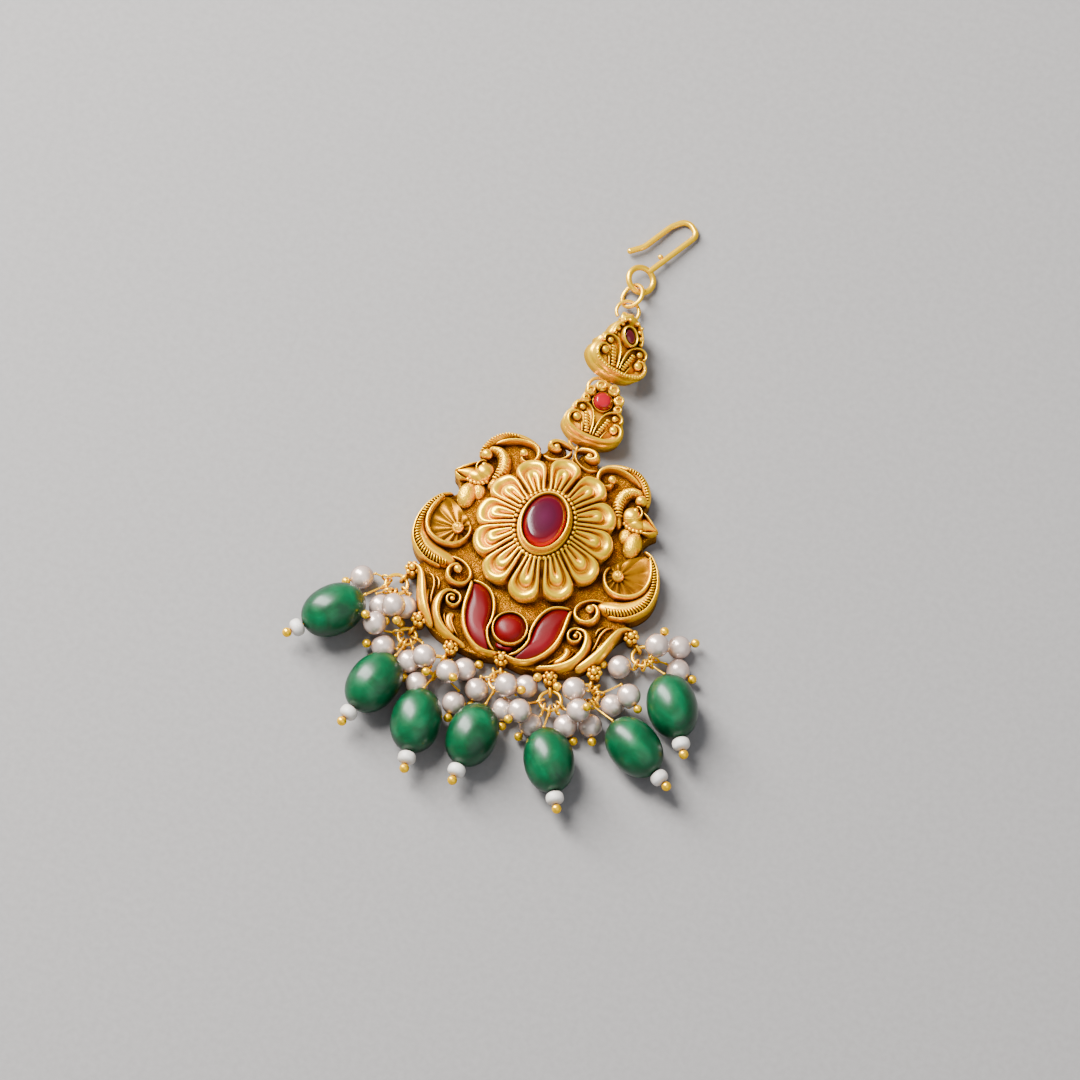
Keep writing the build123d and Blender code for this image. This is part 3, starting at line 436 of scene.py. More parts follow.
# %% Ridges of one half
# each ridge is a lean, then its rows
SCROLLS = [
    # strap and volute at the top
    (0, [(0.35, 15.7, 0.3, 4.2), (0.5, 14.8, 0.4, 4.2), (1.2, 13.85, 0.4, 4.1),
         (2.4, 13.2, 0.42, 4.1), (3.6, 13.1, 0.4, 4), (5, 13.5, 0.3, 3.9)]),
    (0, [(0.4, 15.7, 0.35, 4.2), (1, 16.15, 0.55, 4.5), (2.2, 16.35, 0.8, 4.8), (3.4, 16.15, 1, 5),
         (4, 15.5, 1.05, 5.1), (3.6, 14.95, 0.9, 5), (2.9, 14.75, 0.65, 4.9), (2.3, 15, 0.5, 4.8),
         (2.3, 15.55, 0.45, 4.8)]),
    # top scroll
    (0, [(13.1, 12.2, 0.5, 4.3), (12.2, 13.1, 0.6, 4.6), (11.2, 13.75, 0.65, 4.8),
         (9.8, 14.3, 0.62, 4.9), (8.2, 14.55, 0.6, 4.95), (6.7, 14.4, 0.6, 5),
         (5.7, 13.8, 0.62, 5), (5.3, 12.8, 0.62, 5), (5.5, 11.7, 0.6, 5), (6.3, 11, 0.58, 4.95),
         (7.15, 10.95, 0.55, 4.9), (7.8, 11.4, 0.5, 4.9), (8, 12.1, 0.5, 4.8)]),
    # broad band over the bird, and its outer edge
    (0, [(5.4, 14.4, 0.4, 3.9), (7.4, 15, 0.9, 4.3), (9.4, 15.1, 1.3, 4.5), (11.4, 14.6, 1.5, 4.6),
         (13.1, 13.2, 1.6, 4.6), (14.1, 11.5, 1.3, 4.4), (14.6, 9.8, 0.6, 4)]),
    # shell: inner rim, outer edge and broad feather band
    (0, [(17.9, 1.3, 0.4, 4.4), (18.5, 0.2, 0.6, 4.8), (19.15, -1.7, 0.72, 5),
         (19.3, -3.5, 0.78, 5.1), (18.9, -5.1, 0.85, 5.15), (17.9, -6.3, 0.9, 5.15),
         (16.4, -7, 0.9, 5.1), (14.8, -7.1, 0.8, 5), (13.4, -6.6, 0.65, 4.85),
         (12.4, -5.6, 0.55, 4.7), (11.85, -4.3, 0.5, 4.6), (11.95, -3.1, 0.4, 4.4),
         (12.4, -2.3, 0.3, 4.2)]),
    (0, [(16.6, 2.1, 0.3, 4.1), (18.3, 1.3, 0.45, 4.4), (19.8, -0.6, 0.5, 4.6),
         (20.7, -3, 0.5, 4.7), (20.95, -5.2, 0.5, 4.7), (20.5, -7.6, 0.5, 4.7),
         (19, -9.5, 0.5, 4.6), (16.9, -10.8, 0.45, 4.5), (14.4, -11.1, 0.4, 4.3)]),
    (0, [(17.6, 1.3, 0.7, 3.9), (19.4, -0.6, 1.1, 4.3), (20.05, -3, 1.4, 4.5),
         (20, -5.3, 1.9, 4.6), (19, -7.4, 2.7, 4.7), (17.2, -8.95, 3.2, 4.7), (15.1, -9.5, 3, 4.6),
         (13.4, -9.7, 2.4, 4.3), (12.2, -9.5, 1.2, 3.9)]),
    # tail, thin at first, then thick where it winds in
    (0, [(13.6, -8.9, 0.35, 4.2), (11.9, -9, 0.4, 4.3), (10.5, -9.6, 0.42, 4.4),
         (9.5, -10.6, 0.45, 4.5), (9.2, -11.7, 0.5, 4.6), (9.6, -12.8, 0.6, 4.8),
         (10.6, -13.4, 0.72, 5), (11.8, -13.3, 0.82, 5.1), (12.7, -12.6, 0.85, 5.15),
         (13, -11.5, 0.8, 5.15), (12.6, -10.6, 0.72, 5.1), (11.9, -10.2, 0.65, 5),
         (11.2, -10.5, 0.55, 5)]),
    # outer leaf
    (0.35, [(19.5, -12.2, 0.35, 4.1), (18.5, -12.3, 0.5, 4.4), (17.5, -13, 0.85, 4.7),
            (16.85, -14.3, 1.15, 4.8), (16.3, -15.9, 1.4, 4.85), (15.7, -17.5, 1.6, 4.8),
            (14.8, -19.1, 1.6, 4.7), (13.7, -20.5, 1.3, 4.4), (12.4, -21.8, 0.7, 4)]),
    # lower leaf, its inner fold and its scroll
    (0.45, [(10, -15, 0.35, 4.3), (11.2, -14.7, 0.5, 4.6), (12.2, -15, 0.8, 4.9),
            (12.9, -16, 1.1, 5.1), (13.15, -17.4, 1.35, 5.15), (12.95, -18.9, 1.45, 5.1),
            (12.1, -20.5, 1.35, 5), (10.7, -21.8, 1.15, 4.8), (9, -22.7, 0.9, 4.6),
            (7.3, -23.2, 0.6, 4.3), (6, -23.4, 0.35, 4)]),
    (0, [(11.9, -14.9, 0.3, 4.4), (10.7, -14.75, 0.4, 4.5), (9.7, -15.3, 0.42, 4.6),
         (9.45, -16.2, 0.42, 4.7), (9.8, -17, 0.42, 4.7), (10.6, -17.3, 0.42, 4.75),
         (11.4, -16.95, 0.42, 4.8), (11.65, -16.2, 0.42, 4.8), (11.3, -15.65, 0.4, 4.8),
         (10.7, -15.6, 0.38, 4.8), (10.35, -16.05, 0.35, 4.8)]),
    (0, [(9.6, -18.3, 0.8, 3.9), (10.3, -19.2, 1.2, 4.1), (9.9, -20.6, 1.4, 4.1),
         (8.5, -21.9, 1, 3.9)]),
    # walls of the lotus petal
    (0, [(8.95, -11.8, 0.35, 4.4), (8.6, -12.7, 0.6, 4.7), (8.55, -14.4, 0.66, 4.85),
         (8.5, -16.3, 0.68, 4.9), (8.15, -18.3, 0.7, 4.9), (7.35, -20.2, 0.7, 4.9),
         (6.1, -21.8, 0.7, 4.85), (4.5, -22.95, 0.66, 4.8), (2.9, -23.35, 0.6, 4.7),
         (1.4, -23.2, 0.5, 4.6), (0.3, -22.9, 0.4, 4.4)]),
    (0, [(8.8, -11.9, 0.3, 4.4), (7.2, -12, 0.4, 4.55), (5.7, -12.5, 0.45, 4.6),
         (4.6, -13.5, 0.45, 4.6), (3.9, -14.9, 0.45, 4.6), (3.5, -16.4, 0.45, 4.6),
         (3.4, -18, 0.45, 4.6), (3.55, -19.4, 0.45, 4.6), (3.05, -20.9, 0.45, 4.55),
         (2.1, -22.2, 0.4, 4.5), (1, -22.9, 0.35, 4.4)]),
]
# thin veins inside the leaves, and worn ribs on the ground: width, top, line
VEINS = [
    (0.3, 4.25, [(11.3, -18.4), (11, -19.7), (9.9, -21.3), (8.6, -22.3)]),
    (0.3, 4.15, [(10.2, -18.3), (9.9, -19.6), (8.9, -21), (7.6, -22.3)]),
    (0.45, 3.9, [(16.2, -12.6), (15.1, -13.2), (14.5, -14.6), (14.3, -16.6), (13.9, -18.2)]),
    (0.4, 3.8, [(14.9, -12.6), (13.9, -13.7), (13.7, -15.2)]),
    (0.4, 3.8, [(15.3, -15.2), (14.7, -17.4), (13.7, -19.4)]),
]


def laid(rows, side):
    return [(row[0] * side, *row[1:]) for row in rows]


FOOT = 0.22                # extra width at the foot of every ridge
ROUND_STONE_Y = -18.3

scrolls = bmesh.new()
for side in (1, -1):
    for lean, rows in SCROLLS:
        full = [(x, y, width + FOOT, top) for x, y, width, top in rows]
        bar(scrolls, laid(full, side), sides=14, fade=0.8, lean=lean * side)
    for width, top, rows in VEINS:
        bar(scrolls, laid(rows, side), width=width, top=top, sides=8, fade=1.2)
    for x, y, z, radius in ((2.85, 15.2, 4.5, 0.55), (7.75, 12.4, 4.4, 0.72),
                            (11.55, -10.95, 4.5, 0.72), (10.75, -16.2, 4.3, 0.42)):
        ball(scrolls, x * side, y, z, radius)
bar(scrolls, [(x, y + ROUND_STONE_Y, 0.5, 4.95) for x, y in oval(2.86, 2.86, 24)],
    closed=True, steps=2, sides=12)
piece("scrolls_and_leaves", scrolls, gilt)

# %% [markdown]
# ## Pendant: feather bands and the shells
# Along the shell's outer edge the casting is cut into a row of short ribs, closer together
# than they are long. Ribs of few faces are set square to a middle line at even spaces, and a
# fan of them spreads over the hollow of the shell from the ball in its corner.

# %% Rows of ribs
def at_even_spaces(rows, count):
    """Places along a smooth line, with the direction of the line there."""
    line = smooth(rows, 12)
    steps = [hypot(b[0] - a[0], b[1] - a[1]) for a, b in zip(line, line[1:])]
    for i in range(count):
        goal = sum(steps) * (i + 0.5) / count
        j = 0
        while goal > steps[j] and j < len(steps) - 1:
            goal -= steps[j]
            j += 1
        a, b = line[j], line[j + 1]
        share = goal / steps[j]
        here = [p + (q - p) * share for p, q in zip(a, b)]
        yield here, ((b[0] - a[0]) / steps[j], (b[1] - a[1]) / steps[j])


# middle line of each row: x, y, length of the ribs there, top; then count and rib width
RIB_ROWS = [
    ([(18, 1.15, 0.9, 4.6), (19.6, -1.2, 1.1, 4.85), (20.25, -4.4, 1.2, 5), (19.9, -7, 1.5, 5.1),
      (18.3, -9, 1.8, 5.1), (15.9, -10.1, 1.8, 5), (13.7, -10.2, 1.3, 4.7)], 32, 0.34),
    ([(9.4, 15.1, 0.8, 4.9), (11.4, 14.75, 1.1, 5.05), (13.1, 13.45, 1.2, 5.05),
      (14.2, 11.7, 1, 4.9), (14.6, 10.2, 0.7, 4.6)], 16, 0.34),
]
SHELL_BALL = (14.0, -3.7)
BOWL = [(18.2, 0.6), (19, -1.9), (19.1, -4), (18.2, -6), (16.2, -7), (14, -6.8), (12.3, -5.4),
        (11.8, -3.6), (12.4, -2.2), (13.6, -0.9), (15.4, 0.4), (17, 1.2)]
BOWL_LOW = 3.15
FLUTE = radians(15)        # angle from one flute of the shell to the next


def bowl(mesh, side):
    """A hollow that falls from the ball and climbs to its rim, fluted all round the ball."""
    around = smooth(BOWL, 12, closed=True)[:-1]
    count = len(around)
    x, y = SHELL_BALL
    made = bmesh.ops.create_grid(mesh, x_segments=count, y_segments=12, size=1)["verts"]
    for vert in made:
        px, py = around[round((vert.co.x + 1) / 2 * count) % count]
        out = 0.12 + 0.88 * (vert.co.y + 1) / 2
        turn = atan2(py - y, px - x)
        flute = 0.3 * abs(sin(turn * pi / FLUTE / 2)) * sin(pi * min(out, 0.999)) ** 0.5
        fall, climb = 0.7 * (1 - out) ** 2, 0.35 * out ** 8
        vert.co = (side * (x + (px - x) * out), y + (py - y) * out,
                   BOWL_LOW + fall + climb + flute)


ribs = bmesh.new()
bowls = bmesh.new()
for side in (1, -1):
    bowl(bowls, side)
    for rows, count, width in RIB_ROWS:
        for (x, y, length, top), (tx, ty) in at_even_spaces(laid(rows, side), count):
            half = length / 2
            slant = 0.35 * half
            bar(ribs, [(x - ty * half - tx * slant, y + tx * half - ty * slant), (x, y),
                       (x + ty * half + tx * slant, y - tx * half + ty * slant)],
                width=width, top=top, base=3.9, sides=6, steps=2, fade=0.3)
    x, y = SHELL_BALL
    ball(ribs, x * side, y, 3.9, 1.05)
    bar(ribs, laid([(x + 0.42 * p, y + 0.42 * q, 0.34, 5.05) for p, q in oval(1, 1, 14)], side),
        base=4.4, closed=True, steps=2)
piece("feather_ribs", ribs, gilt)
piece("shell_bowls", bowls, deep_gilt)

# %% [markdown]
# ## Pendant: the two birds
# Each bird is a fat curled neck, a round head with a heart-shaped eye, a short beak and a
# pitted breast. They are rounded forms rather than lines, so they are balls pressed to the
# right proportion, with bars laid over them for the lids, the cheek and the beak.

# %% Birds
NECK = [(11.5, 4.6, 1.2, 4.1), (10.8, 6.2, 1.9, 4.6), (10.3, 7.8, 2.2, 4.95),
        (10.2, 9.3, 2.3, 5.15), (10.6, 10.6, 2.2, 5.25), (11.6, 11.4, 1.9, 5.3),
        (12.8, 11.4, 1.5, 5.2), (13.6, 10.8, 1.2, 5.1)]
# line over the neck, with the length of the feathers combed across it
NECK_FEATHERS = [(10.9, 6, 1.6), (10.35, 7.6, 2), (10.2, 9.3, 2.1), (10.65, 10.6, 2),
                 (11.8, 11.4, 1.6)]
# the lid hooks round the eye and runs on over the cheek
LID = [(12.9, 8.75, 0.2, 5.1), (13.6, 8.85, 0.32, 5.35), (14.2, 8.4, 0.4, 5.4),
       (14.45, 7.6, 0.4, 5.4), (14.1, 6.9, 0.34, 5.4), (13.2, 6.5, 0.26, 5.4),
       (12.1, 6.25, 0.2, 5), (11.4, 6.25, 0.15, 4.4)]
CHEEK_EDGE = [(12.1, 5.75, 0.4), (12.65, 5.35, 0.42), (13.25, 5.1, 0.42), (13.9, 5, 0.42),
              (14.55, 5, 0.42), (15.15, 5.2, 0.4)]
# beak: a wedge, then its two raised edges
BEAK = [(14.2, 6.6, 3.1, 4.4), (15.4, 6.5, 2.9, 4.45), (16.4, 6.3, 2, 4.4), (17.3, 6.1, 0.9, 4.3),
        (17.8, 6.05, 0.3, 4.1)]
BEAK_EDGES = [
    [(14.3, 8.5, 0.4, 4.6), (15.2, 8, 0.55, 4.8), (16.3, 7.2, 0.55, 4.75), (17.3, 6.35, 0.45, 4.6),
     (17.85, 6.05, 0.3, 4.4)],
    [(15.2, 5, 0.4, 4.4), (16.2, 5.05, 0.55, 4.6), (17, 5.35, 0.5, 4.6), (17.7, 5.9, 0.35, 4.4)],
]
BREAST_X, BREAST_Y = 14.55, 2.5

birds = bmesh.new()
feathers = bmesh.new()
for side in (1, -1):
    bar(feathers, laid(NECK, side), sides=18, steps=8, fade=0.9)
    for (x, y, length), (tx, ty) in at_even_spaces(laid(NECK_FEATHERS, side), 11):
        half = length / 2
        bar(feathers, [(x - ty * half, y + tx * half), (x + tx * 0.2, y + ty * 0.2),
                       (x + ty * half, y - tx * half)], width=0.42, top=5.26, base=4.0,
            sides=6, steps=3, fade=0.5)
    ball(birds, 13.55 * side, 10.3, 4.25, 0.98)
    # head, eye, lid, and a cheek with a scalloped lower edge
    ball(birds, 13.0 * side, 7.2, 3.5, 1.85, 4, (1, 0.98, 1))
    ball(birds, 13.3 * side, 8.15, 4.75, 0.52)
    bar(birds, laid(LID, side), fade=0.4, base=3.4)
    ball(birds, 13.9 * side, 6.2, 3.3, 1.6, 4, (1.15, 0.85, 1))
    for x, y, radius in CHEEK_EDGE:
        ball(birds, x * side, y, 3.85, radius)
    bar(birds, laid(BEAK, side), sides=14, fade=0.3)
    for rows in BEAK_EDGES:
        bar(birds, laid(rows, side), fade=0.3)
    # breast, combed with short feathers
    ball(feathers, BREAST_X * side, BREAST_Y, 3.2, 1.6, 4, (0.95, 1.5, 1.12))
    ball(feathers, 13.0 * side, 3.9, 3.0, 1.2, 3, (1.1, 1.3, 0.9))
    for row in range(8):
        for column in range(-2, 3):
            across, along = 0.52 * column + 0.26 * (row % 2), 1.9 - 0.55 * row
            rise = 1 - (across / 1.52) ** 2 - (along / 2.4) ** 2
            if rise > 0.15:
                x, y, top = BREAST_X + across, BREAST_Y + along, 3.25 + 1.8 * sqrt(rise)
                bar(feathers, laid([(x + 0.06, y + 0.3, 0.12, top - 0.06), (x, y, 0.36, top),
                                    (x - 0.06, y - 0.3, 0.2, top - 0.06)], side),
                    sides=6, steps=3, fade=0.1)
piece("birds", birds, gilt)
piece("bird_feathers", feathers, feather_gilt)

# %% [markdown]
# ## Pendant: finials and hanging loops
# Seven little flowers of grains stand along the lower edge, and each carries the loop that a
# drop ring runs through.

# %% Finials
# x, y and the way each one's loop points, in degrees
FINIALS = [(-18.9, -12.7, 240), (-15, -21, 252), (-8.4, -24.1, 252), (0.2, -23.4, 285),
           (8.9, -24.2, 290), (15.6, -21, 270), (19.4, -13, 322)]


def hoop(mesh, centre, normal, radius, wire, turns=28, sides=10):
    """A round wire hoop: a small circle spun about the hoop's own axis."""
    axis = Vector(normal).normalized()
    arm = axis.orthogonal().normalized()
    start = Vector(centre) + arm * radius
    turned = Matrix((arm, axis, arm.cross(axis))).transposed().to_4x4()
    circle = bmesh.ops.create_circle(mesh, segments=sides, radius=wire,
                                     matrix=Matrix.Translation(start) @ turned)["verts"]
    edges = list(dict.fromkeys(edge for vert in circle for edge in vert.link_edges))
    bmesh.ops.spin(mesh, geom=circle + edges, cent=centre, axis=axis, angle=2 * pi,
                   steps=turns, use_merge=True)


PETAL_GRAINS, GRAINS_OUT = 7, 0.88
finials = bmesh.new()
for x, y, degrees in FINIALS:
    a = radians(degrees)
    c, s = cos(a), sin(a)
    bmesh.ops.create_cone(finials, segments=20, radius1=0.95, radius2=0.95, depth=2.4,
                          cap_ends=True, matrix=Matrix.Translation((x, y, 1.7)))
    hoop(finials, (x + 1.75 * c, y + 1.75 * s, 1.6), (-s, c, 0), 0.85, 0.28)
    bar(finials, [(x, y), (x * 0.95, y * 0.95), (x * 0.9, y * 0.9)], width=1.3, top=2.8,
        base=1.6, steps=2)
    ball(finials, x, y, 3.8, 0.6)
    for i in range(PETAL_GRAINS):
        b = a + 2 * pi * i / PETAL_GRAINS
        ball(finials, x + GRAINS_OUT * cos(b), y + GRAINS_OUT * sin(b), 3.25, 0.48, 2)
piece("finials", finials, gilt)

# %% [markdown]
# ## Pendant: the wire loop at the top
# A wire loop stands at the top edge for the ring of the lower link. The ring runs under the
# link, so its place follows from how the link lies: turned a little to its right side.

# %% How the links lie, and the loop
def link_frame(lift, x, y, roll):
    """Frame of a link: u across, v up from its foot, w out from its back."""
    c, s = cos(radians(roll)), sin(radians(roll))
    return Matrix(((c, 0, s, x), (0, 1, 0, y), (-s, 0, c, lift), (0, 0, 0, 1)))


LOWER = link_frame(1.3, 1.1, 17.85, 12)
UPPER = link_frame(2.65, 0.7, 30.2, 28)
RING_R = 1.9
FOOT_V, HEAD_V = 1.25, 11.15           # where the rings take hold of a link
LOOP = (0.7, 0.22, 24, 8)              # radius, wire, and the steps and sides of a loop
ACROSS = (1, 0, 0)                     # the way the loops' holes look
POST = 0.25                            # half the width of a loop's post


def under_link(v):
    return LOWER @ Vector((-1.0, v, -0.6))


def box(mesh, low, high):
    """A small post between two corners."""
    middle = (Vector(low) + Vector(high)) / 2
    size = Vector(high) - Vector(low)
    bmesh.ops.create_cube(mesh, size=1, matrix=Matrix.Translation(middle)
                          @ Matrix.Diagonal((*size, 1)))


top_loop = bmesh.new()
x, y, z = under_link(FOOT_V - RING_R)
hoop(top_loop, (x, y, z), ACROSS, *LOOP)
box(top_loop, (x - POST, y - 4.1, z - 0.6), (x + POST, y - 0.7, z + 0.6))
piece("pendant_top_loop", top_loop, wire_gilt)

# %% [markdown]
# ## The two cast links
# Both links come from one pattern: a heart of two scrolls on a thick curled foot, with
# stamens between. The lower one ends in curled petals round a red stone, the upper one
# narrows to a leaning oval stone. They are built flat in their own frame and laid down last.

# %% The common pattern of a link
LINK_OUTLINE = [(0, 0), (2.4, 0.1), (4.2, 1), (5.2, 2.4), (5, 4), (4.5, 4.7), (4.5, 5.6),
                (3.7, 6.7), (3.5, 7.6), (3, 9.2), (1.7, 10.5), (0, 11.2)]
LINK_GROUND = 3.1
SHOULDER = 6
# right half of the thick foot, curled in at its end
LINK_FOOT = [(0, 0.55, 1, 4.35), (1.6, 0.6, 1, 4.4), (3, 0.95, 1, 4.45), (4.2, 1.6, 1, 4.45),
             (4.65, 2.6, 0.95, 4.45), (4.4, 3.6, 0.85, 4.4), (3.6, 4.1, 0.7, 4.3),
             (2.85, 3.85, 0.55, 4.1)]
LINK_BARS = [
    # stem of the heart, curled over at its top
    [(0.22, 0.9, 0.4, 4.1), (0.3, 2.6, 0.42, 4.1), (0.6, 4.2, 0.42, 4.1), (1.2, 5.4, 0.42, 4.1),
     (2.05, 6.05, 0.5, 4.15), (3.05, 6.2, 0.55, 4.2), (3.9, 5.75, 0.55, 4.2), (4.1, 5, 0.5, 4.15),
     (3.7, 4.55, 0.4, 4)],
    # plain stamen
    [(1.55, 0.9, 0.3, 3.7), (1.9, 1.9, 0.35, 3.75), (2.3, 2.8, 0.3, 3.7)],
    # bulging side wall
    [(0.3, 0.75, 1.4, 3.2), (2.2, 0.85, 1.5, 3.3), (3.8, 1.6, 1.7, 3.4), (4.3, 2.8, 1.8, 3.4),
     (4.1, 4, 1.6, 3.3), (3.7, 5, 1.5, 3.3), (3.6, 5.9, 1.5, 3.3), (3, 6.6, 1.3, 3.2)],
]


def link_pattern(narrow=1.0):
    """A link without its stone; narrow squeezes the part above its shoulders."""
    mesh = bmesh.new()
    slab(mesh, [(x * (narrow if y > SHOULDER else 1), y) for x, y in LINK_OUTLINE], LINK_GROUND)
    bar(mesh, laid(LINK_FOOT[:0:-1], -1) + LINK_FOOT, sides=16)
    for side in (1, -1):
        for rows in LINK_BARS:
            bar(mesh, laid(rows, side), sides=14)
        ball(mesh, 3.3 * side, 3.2, 3.7, 0.72)
        ball(mesh, 2.9 * side, 5.2, 3.7, 0.52)
        for (x, y), _ in at_even_spaces(laid([(0.85, 1.2), (1.15, 2.3), (1.6, 3.5),
                                              (2, 4.8)], side), 7):
            ball(mesh, x, y, 3.5, 0.36, 3, (1.25, 0.8, 1))
    return mesh


def set_down(mesh, lay):
    bmesh.ops.transform(mesh, matrix=lay, verts=mesh.verts)


def standing_loop(mesh, centre, top):
    """A wire loop under a link, on a post that reaches up into it."""
    x, y, z = centre
    hoop(mesh, centre, ACROSS, *LOOP)
    box(mesh, (x - POST, y - POST, z + 0.6), (x + POST, y + POST, top))


print("link pattern with", len(LINK_BARS), "bars on each side")


# %% Lower link
LOWER_STONE_V = 7.4
# petals round the stone: u, v, size of the curl, which way it opens in degrees
CURLS = [(1.08, 9.85, 1.2, -110), (2.45, 8.45, 1.1, -150), (2.75, 6.85, 0.9, 175)]

lower = link_pattern()
bar(lower, [(u, LOWER_STONE_V + v, 0.3, 3.75) for u, v in oval(1.68, 1.68, 20)], closed=True,
    steps=2)
for u, v, size, opening in CURLS:
    start = radians(opening)
    for side in (1, -1):
        ball(lower, u * side, v, 3.7, size * 0.82, 3, (1, 1, 0.55))
        turns = [(u + size * reach * cos(start + t), v + size * reach * sin(start + t))
                 for t, reach in ((0.3, 0.62), (1.1, 0.64), (1.9, 0.64), (2.7, 0.64),
                                  (3.5, 0.62), (4.3, 0.56), (5.1, 0.46), (5.9, 0.3),
                                  (6.9, 0.12))]
        bar(lower, laid(turns, side), width=size * 0.6, top=4.5, base=3.4, sides=12)
set_down(lower, LOWER)
standing_loop(lower, under_link(FOOT_V + RING_R), 2.4)
standing_loop(lower, under_link(HEAD_V - RING_R), 2.4)
piece("lower_link_casting", lower, link_gilt, ["lower_link"])

# %% Upper link with the tube at its top
BAIL = (0.55, 42.15, 1.6)
UPPER_STONE_V, LEAN = 7.3, radians(-55)

upper = link_pattern(narrow=0.86)
edge = [(x, y - 0.1) for x, y, width, top in LINK_FOOT[:6]]
for side in (1, -1):
    for (x, y), (tx, ty) in at_even_spaces(laid(edge, side), 13):
        bar(upper, [(x - ty * 0.4, y + tx * 0.4), (x, y), (x + ty * 0.4, y - tx * 0.4)],
            width=0.24, top=4.56, base=3.9, sides=6, steps=2, fade=0.2)


def leaning(half_u, half_v, *rest):
    """An oval that leans over, as the upper link's stone does."""
    c, s = cos(LEAN), sin(LEAN)
    return [(0.1 + p * c - q * s, UPPER_STONE_V + p * s + q * c, *rest)
            for p, q in oval(half_u, half_v, 24)]


bar(upper, leaning(1.68, 1.2, 0.5, 4.55), closed=True, steps=2, sides=14)
for side in (1, -1):
    bar(upper, laid([(2.75, 6.5), (2.6, 8), (1.7, 9.5), (0.5, 10.5)], side), width=0.6,
        top=3.9, sides=12)
    for u, v, size in ((2.3, 7.9, 0.5), (2.5, 7.0, 0.35), (1.75, 9.0, 0.42)):
        ball(upper, u * side, v, 3.4, size)
    for u, v, turn in ((0.62, 9.6, 20), (1.3, 9.3, 48)):
        out = radians(turn)
        bar(upper, laid([(u, v, 0.3, 4.0), (u + 0.45 * sin(out), v + 0.45 * cos(out), 0.75, 4.3),
                         (u + 1.0 * sin(out), v + 1.0 * cos(out), 0.6, 4.2)], side), sides=12)
set_down(upper, UPPER)
standing_loop(upper, under_link(HEAD_V + RING_R), 3.4)
# section through the tube's wall: along the tube, and out from its middle
wall = [(-0.95, 0.86), (-0.95, 1.2), (-0.6, 1.25), (0, 1.12), (0.6, 1.25), (0.95, 1.2),
        (0.95, 0.86), (0, 0.86)]
corners = [upper.verts.new((BAIL[0] + p, BAIL[1], BAIL[2] + r)) for p, r in wall]
sides = [upper.edges.new(pair) for pair in zip(corners, corners[1:] + corners[:1])]
bmesh.ops.spin(upper, geom=corners + sides, cent=BAIL, axis=ACROSS, angle=2 * pi, steps=32,
               use_merge=True)
box(upper, (BAIL[0] - 0.65, BAIL[1] - 2.6, BAIL[2] + 0.15),
    (BAIL[0] + 0.65, BAIL[1] - 0.9, BAIL[2] + 1.3))
piece("upper_link_casting", upper, link_gilt, ["upper_link"])

# %% [markdown]
# ## Glass stones
# The stones are foiled glass: they look deep because light comes back from the foil behind, and
# that light is painted into their colour, which changes with the distance from a centre given for
# each stone. Each is a low dome, made by pushing nested copies of its outline inward and upward.
# The big oval one shows a bright red crescent where its far wall catches the light: a painted
# highlight, so its colour follows a place in the stone itself and not the camera.

# %% Glass materials
CLOUD = 0.12               # how far the colour wanders from its place in the stone


def glass(name, stops, centre, radii, roughness, coat, shine=0.3):
    """Foiled glass, coloured by how far out from a centre a point is, which paints in the light
    from the foil; lengths in mm.
    """
    material, tree, shader = new_material(name)
    out = add(tree, "ShaderNodeTexCoord").outputs["Object"]
    for operation, vector in (("SUBTRACT", centre), ("DIVIDE", radii)):
        out = add(tree, "ShaderNodeVectorMath", {0: out, 1: Vector(vector) * MM},
                  operation=operation).outputs["Vector"]
    out = add(tree, "ShaderNodeVectorMath", {0: out}, operation="LENGTH").outputs["Value"]
    noise = texture(tree, Scale=420, Detail=3).outputs["Fac"]
    out = add(tree, "ShaderNodeMath", {0: noise, 1: CLOUD, 2: out}, operation="MULTIPLY_ADD")
    fill(shader, {"Base Color": ramp(tree, out.outputs[0], stops), "Roughness": roughness,
                  "Coat Weight": coat, "Coat Roughness": roughness,
                  "Specular IOR Level": shine})
    return material


# painted highlight: a bright red crescent on the lower right rim, round a darker maroon middle
maroon = glass("maroon glass", [(0.0, (0.06, 0.002, 0.022)), (0.5, (0.045, 0.0, 0.01)),
                                (0.8, (0.07, 0.0, 0.004)), (0.9, (0.22, 0.0, 0.003)),
                                (1.0, (0.6, 0.002, 0.006))],
               (-0.3, 0.4, 9.4), (3.9, 5.3, 20), 0.16, 0.12)
dark_red = glass("dark red glass", [(0.0, (0.06, 0.002, 0.006)), (1.0, (0.12, 0.0, 0.003))],
                 (2.5, 37.5, 6), (3, 3, 9), 0.06, 0.6)
# painted light from the foil: brightest near the middle, a little low, and darker out to the rim
ruby = glass("ruby glass", [(0.0, (0.36, 0.0, 0.012)), (0.5, (0.28, 0.0, 0.008)),
                            (1.0, (0.1, 0.0, 0.003))],
             (2.0, 25.0, 5.4), (2.4, 2.4, 9), 0.15, 0.3)
# painted light: a brighter red band along the lower outer edges of the lotus petals, darker
# towards their upper inner ends
petal_red = glass("petal glass", [(0.0, (0.015, 0.0, 0.0)), (0.35, (0.05, 0.0, 0.0)),
                                  (0.62, (0.095, 0.0, 0.001)), (0.86, (0.13, 0.001, 0.005)),
                                  (1.0, (0.07, 0.0, 0.001))],
                  (0, -10.5, 4), (14, 13.5, 30), 0.33, 0.05, shine=0.14)
# painted light and shade: lighter towards the lower right, darkest at the upper left rim
round_red = glass("round glass", [(0.0, (0.13, 0.0, 0.001)), (0.6, (0.11, 0.0, 0.001)),
                                  (0.85, (0.08, 0.0, 0.0)), (1.0, (0.03, 0.0, 0.0))],
                  (0.3, -18.9, 5), (3.4, 3.4, 30), 0.35, 0.05, shine=0.14)
print("glass", [stone.name for stone in (maroon, dark_red, ruby, petal_red, round_red)])

